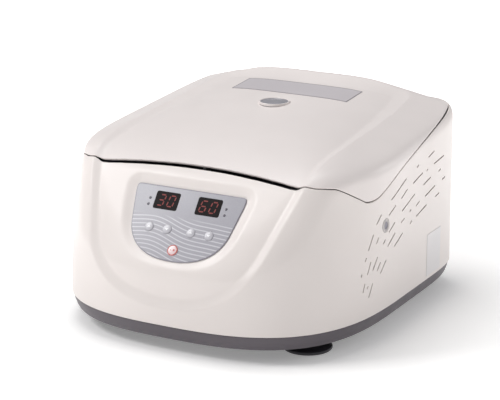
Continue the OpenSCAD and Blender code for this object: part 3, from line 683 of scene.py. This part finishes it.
def across(outline, x):
    """An outline in depth and height, placed at x."""
    return np.column_stack([np.full(len(outline), x), outline])


def side_prism(outline, low, high):
    """A closed prism across the machine, from one x to another."""
    return prism(outline, lambda o: across(o, low), lambda o: across(o, high))


def panel_prism(outline, low, high):
    """A closed prism standing on the panel, between two levels."""
    return prism(outline, lambda o: on_panel(o[:, 0], o[:, 1], low),
                 lambda o: on_panel(o[:, 0], o[:, 1], high))


def circle(radius, centre=(0.0, 0.0), count=40):
    turn = np.linspace(0, 2 * math.pi, count, endpoint=False)
    return np.column_stack([np.cos(turn), np.sin(turn)]) * radius + centre


def capsule(y, z, length, rise):
    """Outline of a slot with round ends, tilted by its rise in degrees."""
    radius = VENT_W / 2
    reach = max(length / 2 - radius, 0.1)
    bow = np.radians(np.linspace(-90, 90, 7))
    end = np.column_stack([np.cos(bow) * radius + reach, np.sin(bow) * radius])
    ring = np.concatenate([end, -end])
    turn = math.radians(rise)
    spin = np.array([[math.cos(turn), math.sin(turn)], [-math.sin(turn), math.cos(turn)]])
    return ring @ spin + (y, z)


# Vent slots of each side: place along the depth, height, length and rise in degrees
VENT_W = 1.8
VENTS = (
    (41, 180, 18, 12), (65, 168, 32, 5), (2, 175, 6, 17), (30, 164, 5, 21), (68, 155, 7, 13),
    (3, 161, 28, 12), (30, 151, 22, 11), (82, 142, 10, 6), (-50, 161, 43, 20), (-35, 152, 18, 22),
    (-23, 139, 38, 17), (40, 137, 30, 11), (62, 127, 12, 10), (4, 131, 11, 19), (-17, 128, 5, 27),
    (15, 120, 30, 12), (-67, 141, 19, 24), (-97, 138, 14, 43), (-38, 122, 10, 18),
    (-15, 114, 6, 30), (-67, 122, 17, 28), (-68, 108, 22, 31), (-49, 103, 25, 23),
    (-113, 116, 19, 57), (-100, 115, 8, 51), (-85, 110, 7, 37), (-123, 99, 5, 59),
    (-117, 88, 15, 62), (-105, 90, 17, 52), (-97, 85, 11, 47), (-87, 82, 18, 43), (-131, 83, 4, 64),
    (-127, 68, 11, 68), (-120, 67, 4, 57), (-114, 62, 17, 61))
PLUG_Y = -82.0
PLUG_Z = 127.7
REAR_OPENING = (-120.0, -20.0, 36.0, 68.0)
HINGE_X = 95.0


def housing_openings():
    parts = []
    for vent in VENTS:
        outline = capsule(*vent)
        for low, high in ((140.0, 200.0), (-200.0, -140.0)):
            parts.append(side_prism(outline, low, high))
    parts.append(panel_prism(inset_outline(MEMBRANE, 3.0), -14.0, 6.0))
    for radius, low, high in ((8.0, HALF_W - 1.8, 200.0), (5.2, 170.0, HALF_W - 1.75)):
        parts.append(side_prism(circle(radius, (PLUG_Y, PLUG_Z)), low, high))
    left, right, low, high = REAR_OPENING
    boxes = [((left, right), (REAR_Y - 20, REAR_Y + 8), (low, high))]
    boxes += [((s * HINGE_X - 5.5, s * HINGE_X + 5.5), (HINGE_Y - 30, HINGE_Y + 8),
               (HINGE_Z - 8, HINGE_Z + 40)) for s in (-1, 1)]
    for x, y, z in boxes:
        ring = np.array([(y[0], z[0]), (y[1], z[0]), (y[1], z[1]), (y[0], z[1])])
        parts.append(side_prism(ring, *x))
    return parts


def cut_out(piece, parts, material):
    """Cuts closed prisms out of a piece of one material."""
    cutter = joined_mesh("cutter", parts, TRAY_ABS)
    step = piece.modifiers.new("openings", "BOOLEAN")
    step.operation = "DIFFERENCE"
    step.solver = "MANIFOLD"
    step.object = cutter
    result = bpy.data.meshes.new_from_object(piece.evaluated_get(bpy.context.evaluated_depsgraph_get()))
    piece.modifiers.clear()
    piece.data = result
    bpy.data.objects.remove(cutter)
    result.materials.clear()
    result.materials.append(material)
    result.shade_smooth()
    result.set_sharp_from_angle(angle=math.radians(40))


housing = build_shell("housing", "housing_shell", HOUSING_ROWS, HOUSING_ABS)
cut_out(housing, housing_openings(), HOUSING_ABS)
lid = build_shell("lid", "lid_hood", LID_ROWS, LID_ABS)
stand_for(housing, "root", "housing")
stand_for(lid, "lid", "lid_shell")


def drawn_in(name, node, body, room):
    """An inner moulding of the same shape, drawn in at the front corners to clear the shells."""
    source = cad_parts[node]
    mesh = source.data.copy()
    places = np.empty(len(mesh.vertices) * 3)
    mesh.vertices.foreach_get("co", places)
    world = np.array(source.matrix_world)
    points = (places.reshape(-1, 3) @ world[:3, :3].T + world[:3, 3]) / MM - (0.0, ROTOR_Y, 0.0)
    corner = (points[:, 1] < -10) & (np.abs(points[:, 0]) > 60)
    for _ in range(3):
        over = np.where(corner, np.maximum(form_distance(points) + room, 0), 0)
        normals = form_normal(points)
        normals[:, 2] = 0
        points = points - normals * over[:, None]
    mesh.vertices.foreach_set("co", to_frame(points).ravel())
    piece = bpy.data.objects.new(name, mesh)
    bpy.context.scene.collection.objects.link(piece)
    stand_for(piece, body, node)


DECK_ROOM = 4.0
LINER_ROOM = 5.0
# The deck ledge keeps the deck's dark colour, painted shade seen through the seam gap
drawn_in("deck_ledge", "deck", "root", DECK_ROOM)
drawn_in("liner_panel", "lid_liner", "lid", LINER_ROOM)


# Base tray, lofted from the plan
def plan_ring(inset, z):
    turn = np.linspace(0, 2 * math.pi, COLUMNS // 2, endpoint=False)
    aim = np.stack([np.cos(turn), np.sin(turn)], -1)
    near, far = np.full(turn.shape, 20.0), np.full(turn.shape, 400.0)
    for _ in range(24):
        middle = (near + far) / 2
        inside = plan_distance(aim[:, 0] * middle, PLAN_Y + aim[:, 1] * middle, BASE_TOP) < 0
        near, far = np.where(inside, middle, near), np.where(inside, far, middle)
    ring = aim * near[:, None] + (0, PLAN_Y)
    along = np.roll(ring, -1, 0) - np.roll(ring, 1, 0)
    along /= np.linalg.norm(along, axis=1, keepdims=True)
    inward = np.stack([-along[:, 1], along[:, 0]], -1)
    ring = ring + inward * inset
    return np.concatenate([ring, np.full((len(ring), 1), z)], 1)


FLOOR_RING = 9


def build_tray():
    """The tray: its wall as rings, closed under and over by a flat floor."""
    low = FOOT_H
    section = [(5.5, BASE_TOP - 0.2), (1.6, BASE_TOP - 0.2), (1.2, BASE_TOP - 0.8), (1.6, BASE_TOP - 3),
               (2.6, low + 11), (4.4, low + 6), (6.6, low + 2.2), (8.0, low + 0.8), (10.0, low + 0.1),
               (16.0, low), (16.0, low + WALL), (11.0, low + WALL + 0.5), (5.5, low + 9)]
    rings = [plan_ring(inset, z) for inset, z in section]
    count = len(rings[0])
    points = np.concatenate(rings)
    start, end = FLOOR_RING * count, (FLOOR_RING + 1) * count
    faces = grid_faces(len(rings), count, closed_rows=True)
    keep = [f for f in faces if not start <= f[0] < end]
    floor_low = list(range(start, end))[::-1]
    floor_high = list(range(end, end + count))
    return make_mesh("base_tray", points, keep + [floor_low, floor_high], TRAY_ABS)


tray = build_tray()
stand_for(tray, "root", "base_pan")


# Turned pieces
def lathe(profile, place, count=64):
    """Points and faces of a turned piece; place maps radius, turn and height to points."""
    profile = np.array(profile, float)
    turn = np.linspace(0, 2 * math.pi, count, endpoint=False)
    rings = [place(r * np.cos(turn), r * np.sin(turn), np.full(count, z)) for r, z in profile]
    faces = grid_faces(len(rings), count)
    last = (len(rings) - 1) * count
    faces += [tuple(range(count))[::-1], tuple(range(last, last + count))]
    return np.concatenate(rings), faces


def turned_piece(name, profile, place, material, body, node=None, count=64, sharp=32):
    piece = joined_mesh(name, [lathe(profile, place, count)], material)
    piece.data.shade_smooth()
    piece.data.set_sharp_from_angle(angle=math.radians(sharp))
    stand_for(piece, body, *([node] if node else []))
    return piece


FEET = [(x, y) for x in (127.0, -127.0) for y in (FRONT_Y + 93, REAR_Y - 54)]


def build_feet():
    profile = [(3, 0.6), (9, 0.6), (10, 2.4), (18, 2.2), (22, 0.9), (24.5, 0.1), (26.4, 0.2),
               (27.3, 1.2), (27.5, 2.4), (27.0, 3.6), (25.4, 4.4), (21, 6.0), (17, 7.2), (15.2, 8.4),
               (14.3, 10.2), (14.6, 11.6), (16.6, 12.2), (17, 13.0), (16.8, FOOT_H), (3, FOOT_H)]
    parts = []
    for x, y in FEET:
        parts.append(lathe(profile, lambda a, b, z, x=x, y=y: np.column_stack([x + a, y + b, z])))
    feet = joined_mesh("rubber_feet", parts, FOOT_RUBBER)
    feet.data.shade_smooth()
    feet.data.set_sharp_from_angle(angle=math.radians(40))
    stand_for(feet, "root", "feet")


build_feet()


# Control panel
def slab(outline, low, high, roll=0.3):
    """A plate in the panel plane with a rolled upper edge."""
    rings = [(0.0, low), (0.0, high - roll), (roll * 0.3, high - roll * 0.3), (roll, high)]
    count = len(outline)
    points = []
    for inset, n in rings:
        ring = inset_outline(outline, inset)
        points.append(on_panel(ring[:, 0], ring[:, 1], n))
    faces = grid_faces(len(rings), count)
    last = (len(rings) - 1) * count
    faces += [tuple(range(count))[::-1], tuple(range(last, last + count))]
    return np.concatenate(points), faces


def rounded_rectangle(width, height, radius, centre=(0.0, 0.0)):
    parts = []
    for k, (sx, sy) in enumerate(((1, -1), (1, 1), (-1, 1), (-1, -1))):
        turn = np.radians(np.linspace(-90, 0, 7) + 90 * k)
        corner = np.column_stack([np.cos(turn), np.sin(turn)]) * radius
        parts.append(corner + (sx * (width / 2 - radius), sy * (height / 2 - radius)))
    return np.concatenate(parts) + centre


def wavy_overlay():
    """Printed polyester overlay: lilac grey with fine pale waves over the lower half."""
    material, tree, shader = start_material("overlay_polyester")
    place = object_space(tree)
    up = add_node(tree, "ShaderNodeVectorMath", {"operation": "DOT_PRODUCT"}, i0=place,
                  i1=(0.0, float(PANEL_UP[0]), float(PANEL_UP[1])))
    level = PANEL_AT[0] + ROTOR_Y
    zero = (level * PANEL_UP[0] + PANEL_AT[1] * PANEL_UP[1]) * MM
    height = sums(tree, "SUBTRACT", up.outputs["Value"], zero)
    parts = add_node(tree, "ShaderNodeSeparateXYZ", Vector=place)
    swell = sums(tree, "SINE", sums(tree, "MULTIPLY", parts.outputs["X"], 48.0))
    swell_2 = sums(tree, "SINE", sums(tree, "MULTIPLY_ADD", parts.outputs["X"], 91.0, 1.2))
    wave = sums(tree, "MULTIPLY_ADD", swell, 0.0034, height)
    wave = sums(tree, "MULTIPLY_ADD", swell_2, 0.0012, wave)
    wave = sums(tree, "MULTIPLY_ADD", parts.outputs["X"], 0.09, wave)
    line = sums(tree, "SINE", sums(tree, "MULTIPLY", wave, 1350.0))
    share = sums(tree, "MULTIPLY", ramp(tree, line, 0.45, 0.95), ramp(tree, height, -0.015, -0.021))
    grain = noise(tree, place, 700.0, 2.0)
    base = blend_colour(tree, ramp(tree, grain, 0.3, 0.7), colour("#99979f"), colour("#95939c"))
    tone = blend_colour(tree, sums(tree, "MULTIPLY", share, 0.55), base, colour("#dcdadf"))
    tree.links.new(tone, shader.inputs["Base Color"])
    bump(tree, shader, grain, 0.00002, 0.4)
    set_shader(shader, Roughness=0.3, Coat_Weight=0.2, Coat_Roughness=0.1)
    return material


def display_window():
    """Tinted acrylic over the dark digit module."""
    material, tree, shader = start_material("acrylic_red_tint")
    place = object_space(tree)
    tone = blend_colour(tree, ramp(tree, noise(tree, place, 60.0), 0.3, 0.7), colour("#0f0506"),
                        colour("#0b0304"))
    tree.links.new(tone, shader.inputs["Base Color"])
    bump(tree, shader, noise(tree, place, 900.0), 0.00001, 0.3)
    set_shader(shader, Roughness=0.4, Specular_IOR_Level=0.1)
    return material


def lit_segment():
    """Glowing red light-guide of one digit segment."""
    material, tree, shader = start_material("led_segment_lit")
    glow = noise(tree, object_space(tree), 500.0, 1.0)
    tone = blend_colour(tree, ramp(tree, glow, 0.3, 0.7), colour("#7c1d16"), colour("#701912"))
    tree.links.new(tone, shader.inputs["Base Color"])
    tree.links.new(tone, shader.inputs["Emission Color"])
    set_shader(shader, Roughness=0.5, Emission_Strength=0.2)
    return material


OVERLAY = wavy_overlay()
DISPLAY_WINDOW = display_window()
SEGMENT_LIT = lit_segment()
OVERLAY_RIM = moulded_plastic("overlay_edge_grey", "#8e8b95", "#88858f", 0.4)
DISPLAY_X = 26.4
DISPLAY_SIZE = (30.4, 21.0, 2.4)
BUTTONS = {"speed_up": (-37.4, -32.0), "speed_down": (-14.9, -32.0), "time_up": (14.9, -32.0),
           "time_down": (37.4, -32.0)}
START_H = -54.4
LAMPS = [(s * 47.8, h) for s in (-1, 1) for h in (0.8, -6.4)]


def build_overlay():
    rim = joined_mesh("overlay_edge", [slab(MEMBRANE, -2.0, -1.1, 0.3)], OVERLAY_RIM)
    sheet = joined_mesh("overlay_sheet", [slab(inset_outline(MEMBRANE, 1.0), -1.5, -1.0, 0.12)], OVERLAY)
    stand_for(rim, "root", "panel_membrane")
    stand_for(sheet, "root")


SEGMENTS = {"a": ((0.13, 0.97), (0.87, 0.97)), "g": ((0.13, 0.5), (0.87, 0.5)),
            "d": ((0.13, 0.03), (0.87, 0.03)), "f": ((0.04, 0.56), (0.04, 0.92)),
            "b": ((0.96, 0.56), (0.96, 0.92)), "e": ((0.04, 0.08), (0.04, 0.44)),
            "c": ((0.96, 0.08), (0.96, 0.44))}
DIGITS = {"3": "abgcd", "0": "abcdef", "6": "acdefg"}
DIGIT_W = 7.6
DIGIT_H = 13.4
DIGIT_SLANT = 0.16
DIGIT_PITCH = 12.4
DIGIT_START = 2.0
SEGMENT_HALF = 0.68


def digit_segments(text, centre_x):
    """Lit segments of a two-digit number, as slanted bars with pointed ends."""
    parts = []
    for k, mark in enumerate(text):
        left = centre_x + (k - 1) * DIGIT_PITCH + DIGIT_START
        for name in DIGITS[mark]:
            ends = np.array(SEGMENTS[name]) * (DIGIT_W, DIGIT_H) + (left, -DIGIT_H / 2)
            along = ends[1] - ends[0]
            along /= np.linalg.norm(along)
            side = np.array([-along[1], along[0]]) * SEGMENT_HALF
            nib = along * SEGMENT_HALF
            bar = np.array([ends[0], ends[0] + nib - side, ends[1] - nib - side, ends[1],
                            ends[1] - nib + side, ends[0] + nib + side])
            bar[:, 0] += bar[:, 1] * DIGIT_SLANT
            parts.append(panel_prism(bar, -0.95, -0.84))
    return parts


def build_display(name, text, x):
    width, height, radius = DISPLAY_SIZE
    outline = rounded_rectangle(width, height, radius, (x, 0.0))
    window = joined_mesh("window_" + name, [slab(outline, -9.0, -0.9, 0.35)], DISPLAY_WINDOW)
    stand_for(window, "root", "display_" + name)
    digits = joined_mesh("digits_" + name, digit_segments(text, x), SEGMENT_LIT)
    stand_for(digits, "root")


def button_place(x, h):
    """Maps a turned profile to the panel, about a key's centre."""
    return lambda a, b, n: on_panel(x + a, h + b, n)


def triangle(x, h, size, up):
    rise = size * 0.8 * (1 if up else -1)
    ring = np.array([(x - size, h - rise / 2), (x + size, h - rise / 2), (x, h + rise)])
    return ring if up else ring[::-1]


def build_buttons():
    cap = [(2, -8.0), (2, -3.5), (5.3, -3.5), (5.3, -0.55), (5.1, -0.2), (4.6, 0.02), (3.6, 0.16),
           (2.2, 0.26), (0.8, 0.3), (0.1, 0.3)]
    for name, (x, h) in BUTTONS.items():
        body = name + "_key"
        turned_piece("key_" + name, cap, button_place(x, h), GREY_KEY_CAP, body, "button_" + name)
        raised = panel_prism(triangle(x, h, 2.3, name.endswith("up")), 0.1, 0.34)
        stand_for(joined_mesh("mark_" + name, [raised], KEY_MARK_PALE), body)
    cap = [(2, -8.0), (2, -3.5), (6.2, -3.5), (6.2, -0.6), (6.0, -0.25), (5.4, 0.0), (4.4, 0.14),
           (2.6, 0.26), (0.8, 0.3), (0.1, 0.3)]
    place = button_place(0, START_H)
    turned_piece("key_start", cap, place, PINK_KEY_CAP, "start_key", "button_start")
    ring = [(6.15, -0.6), (6.24, -0.3), (5.7, 0.08), (5.2, 0.16), (5.0, 0.02), (5.4, -0.4)]
    turned_piece("ring_start", ring, place, KEY_RING_RED, "start_key")
    marks = (triangle(-1.9, START_H - 0.2, 1.1, True), rounded_rectangle(2.2, 2.2, 0.2, (1.9, START_H)))
    raised = [panel_prism(mark, 0.05, 0.35) for mark in marks]
    stand_for(joined_mesh("mark_start", raised, KEY_RING_RED), "start_key")


def build_lamps():
    dome = [(0.8, -9.0), (1.6, -9.0), (1.6, -0.95), (1.3, -0.8), (0.8, -0.7), (0.1, -0.67)]
    parts = [lathe(dome, button_place(x, h), 24) for x, h in LAMPS]
    lamps = joined_mesh("lamp_lenses", parts, LAMP_LENS)
    lamps.data.shade_smooth()
    lamps.data.set_sharp_from_angle(angle=math.radians(50))
    stand_for(lamps, "root", "indicator_lamps")


build_overlay()
build_display("speed", "30", -DISPLAY_X)
build_display("time", "60", DISPLAY_X)
build_buttons()
build_lamps()


# Plates, sight glass and plug
def surface_at(start, aim, reach):
    """Points where lines from start along aim leave the outer form."""
    near, far = np.zeros(start.shape[:-1]), np.full(start.shape[:-1], reach)
    for _ in range(24):
        middle = (near + far) / 2
        inside = form_distance(start + aim * middle[..., None]) < 0
        near, far = np.where(inside, middle, near), np.where(inside, far, middle)
    return start + aim * ((near + far) / 2)[..., None]


def build_plate(name, node, body, first, second, place, aim, materials, thick=0.4, border=1.0):
    """A bare plate that follows the surface, with a narrow printed border."""
    def steps(low, high, count):
        middle = np.linspace(low + border, high - border, count)[1:-1]
        return np.concatenate([[low, low, low + border], middle, [high - border, high, high]])

    u, v = steps(*first, 30), steps(*second, 16)
    grid_u, grid_v = np.meshgrid(u, v, indexing="ij")
    start = place(grid_u, grid_v)
    base = surface_at(start, np.array(aim, float), 300.0)
    normals = form_normal(base)
    lift = np.full(grid_u.shape, thick)
    lift[[0, -1], :] = -0.2
    lift[:, [0, -1]] = -0.2
    points = recess(base, normals) + normals * lift[..., None]
    rows, columns = grid_u.shape
    faces, slots = [], []
    for r in range(rows - 1):
        for c in range(columns - 1):
            k = r * columns + c
            faces.append((k, k + columns, k + columns + 1, k + 1))
            edge = r in (1, rows - 3) or c in (1, columns - 3)
            slots.append(1 if edge and 0 < r < rows - 2 and 0 < c < columns - 2 else 0)
    piece = make_mesh(name, points.reshape(-1, 3), faces, materials[0], smooth=False)
    piece.data.materials.append(materials[1])
    for face, slot in zip(piece.data.polygons, slots):
        face.material_index = slot
    stand_for(piece, body, node)


PLATE_FILM = moulded_plastic("label_film_grey", "#cdc7ca", "#c8c2c5", 0.38)
PLATE_BORDER = moulded_plastic("label_print_grey", "#6e6a70", "#68646a", 0.4)
RATING_FILM = moulded_plastic("label_film_pale", "#e6e2e2", "#e0dcdc", 0.35)
build_plate("info_label", "info_plate", "lid", (-76.3, 76.3), (33.0, 76.0),
            lambda x, y: np.stack([x, y, np.full(x.shape, 150.0)], -1), (0, 0, 1),
            (PLATE_FILM, PLATE_BORDER))
build_plate("rating_label", "rating_plate", "root", (34.0, 75.0), (36.0, 86.0),
            lambda y, z: np.stack([np.full(y.shape, 100.0), y, z], -1), (1, 0, 0),
            (RATING_FILM, RATING_FILM))


def glass_polycarbonate():
    """Smoked polycarbonate with a soft inner haze."""
    material, tree, shader = start_material("polycarbonate_smoked")
    place = object_space(tree)
    haze = ramp(tree, noise(tree, place, 35.0), 0.3, 0.7)
    tone = blend_colour(tree, haze, colour("#a3a1a7"), colour("#97959c"))
    tree.links.new(tone, shader.inputs["Base Color"])
    bump(tree, shader, noise(tree, place, 500.0), 0.00001, 0.3)
    set_shader(shader, Roughness=0.12, Coat_Weight=0.6, Coat_Roughness=0.05)
    return material


def upright(a, b, z):
    return np.column_stack([a, b, z])


def from_right_side(a, b, x):
    """Maps a turned profile to the right wall, about the plug's centre."""
    return np.column_stack([HALF_W - 1.6 + x, PLUG_Y + a, PLUG_Z + b])


def build_sight_glass():
    top = CROWN_Z - SHIELD_DEPTH - 0.6
    glass = [(20.5, top - 7), (20.5, top - 5.6), (17.2, top - 5.6), (17.2, top - 0.9), (16.9, top - 0.5),
             (15.4, top - 0.5), (15.0, top - 0.9), (14.4, top - 0.9), (10, top - 0.6), (5, top - 0.45),
             (0.2, top - 0.4)]
    turned_piece("sight_window", glass, upright, glass_polycarbonate(), "lid", "sight_glass", 96)
    collar = [(17.2, top - 3.0), (17.9, top - 2.8), (18.0, top - 0.2), (17.6, top + 0.15),
              (16.9, top + 0.1), (16.2, top - 0.4), (16.2, top - 1.2)]
    turned_piece("sight_collar", collar, upright, LID_ABS, "lid", None, 96, 60)


def build_release_plug():
    cap = [(5, -9), (5, 0), (7.6, 0), (7.6, 0.9), (7.2, 1.3), (6.2, 1.4), (5.7, 1.3), (5.4, 0.7),
           (4.9, 0.7), (4.6, 1.3), (4.2, 1.4), (4.1, 0.5)]
    core = [(4.2, 0.4), (4.2, 1.2), (3.6, 0.9), (1.6, 0.8), (0.1, 0.8)]
    turned_piece("plug_cap", cap, from_right_side, PLUG_ABS, "plug", "release_plug", 48)
    turned_piece("plug_core", core, from_right_side, OVERLAY_RIM, "plug", None, 40)


build_sight_glass()
build_release_plug()


# Studio
def add_light(name, place, target, size, power, tint="#ffffff"):
    data = bpy.data.lights.new(name, "AREA")
    data.shape = "RECTANGLE"
    data.size, data.size_y = size
    data.energy = power
    data.color = colour(tint)[:3]
    lamp = bpy.data.objects.new(name, data)
    lamp.location = place
    lamp.rotation_euler = (Vector(place) - Vector(target)).to_track_quat("Z", "Y").to_euler()
    bpy.context.scene.collection.objects.link(lamp)


def add_studio():
    add_light("key", (-1.5, -1.1, 1.9), (0, 0, 0.12), (0.8, 0.8), 23)
    add_light("top", (-0.4, 0.1, 2.3), (0, 0, 0.1), (1.4, 1.2), 21)
    add_light("side", (1.7, 2.0, 0.9), (0.1, 0.1, 0.1), (0.8, 1.0), 9)
    floor_mesh = bpy.data.meshes.new("floor")
    reach = 12.0
    floor_mesh.from_pydata([(-reach, -reach, 0), (reach, -reach, 0), (reach, reach, 0),
                            (-reach, reach, 0)], [], [(0, 1, 2, 3)])
    floor = bpy.data.objects.new("floor", floor_mesh)
    material, tree, shader = start_material("studio_paper_painted_glow")
    place = object_space(tree)
    grain = noise(tree, place, 300.0, 2.0)
    tone = blend_colour(tree, ramp(tree, grain, 0.3, 0.7), colour("#fdfcfb"), colour("#fbfaf9"))
    tree.links.new(tone, shader.inputs["Base Color"])
    away = add_node(tree, "ShaderNodeVectorMath", {"operation": "LENGTH"}, i0=place).outputs["Value"]
    # Painted light: the floor glows, weakly round the machine and fully white from 0.75 m out, so it
    # stays darker near the machine and fades into the white backdrop
    shader.inputs["Emission Color"].default_value = (1, 1, 1, 1)
    tree.links.new(ramp(tree, away, 0.22, 0.75, 0.24, 1.0), shader.inputs["Emission Strength"])
    set_shader(shader, Roughness=0.8, Specular_IOR_Level=0.1)
    floor_mesh.materials.append(material)
    bpy.context.scene.collection.objects.link(floor)
    world = bpy.data.worlds.new("studio")
    bpy.context.scene.world = world
    world.use_nodes = True
    tree = world.node_tree
    tree.nodes.clear()
    rays = add_node(tree, "ShaderNodeLightPath")
    seen = add_node(tree, "ShaderNodeBackground", Color=(1, 1, 1, 1), Strength=1.0)
    soft = add_node(tree, "ShaderNodeBackground", Color=colour("#f6f7fa"), Strength=0.3)
    mixed = add_node(tree, "ShaderNodeMixShader")
    tree.links.new(rays.outputs["Is Camera Ray"], mixed.inputs[0])
    tree.links.new(soft.outputs[0], mixed.inputs[1])
    tree.links.new(seen.outputs[0], mixed.inputs[2])
    output = add_node(tree, "ShaderNodeOutputWorld")
    tree.links.new(mixed.outputs[0], output.inputs["Surface"])
    bpy.context.scene.view_settings.view_transform = "Standard"


add_studio()
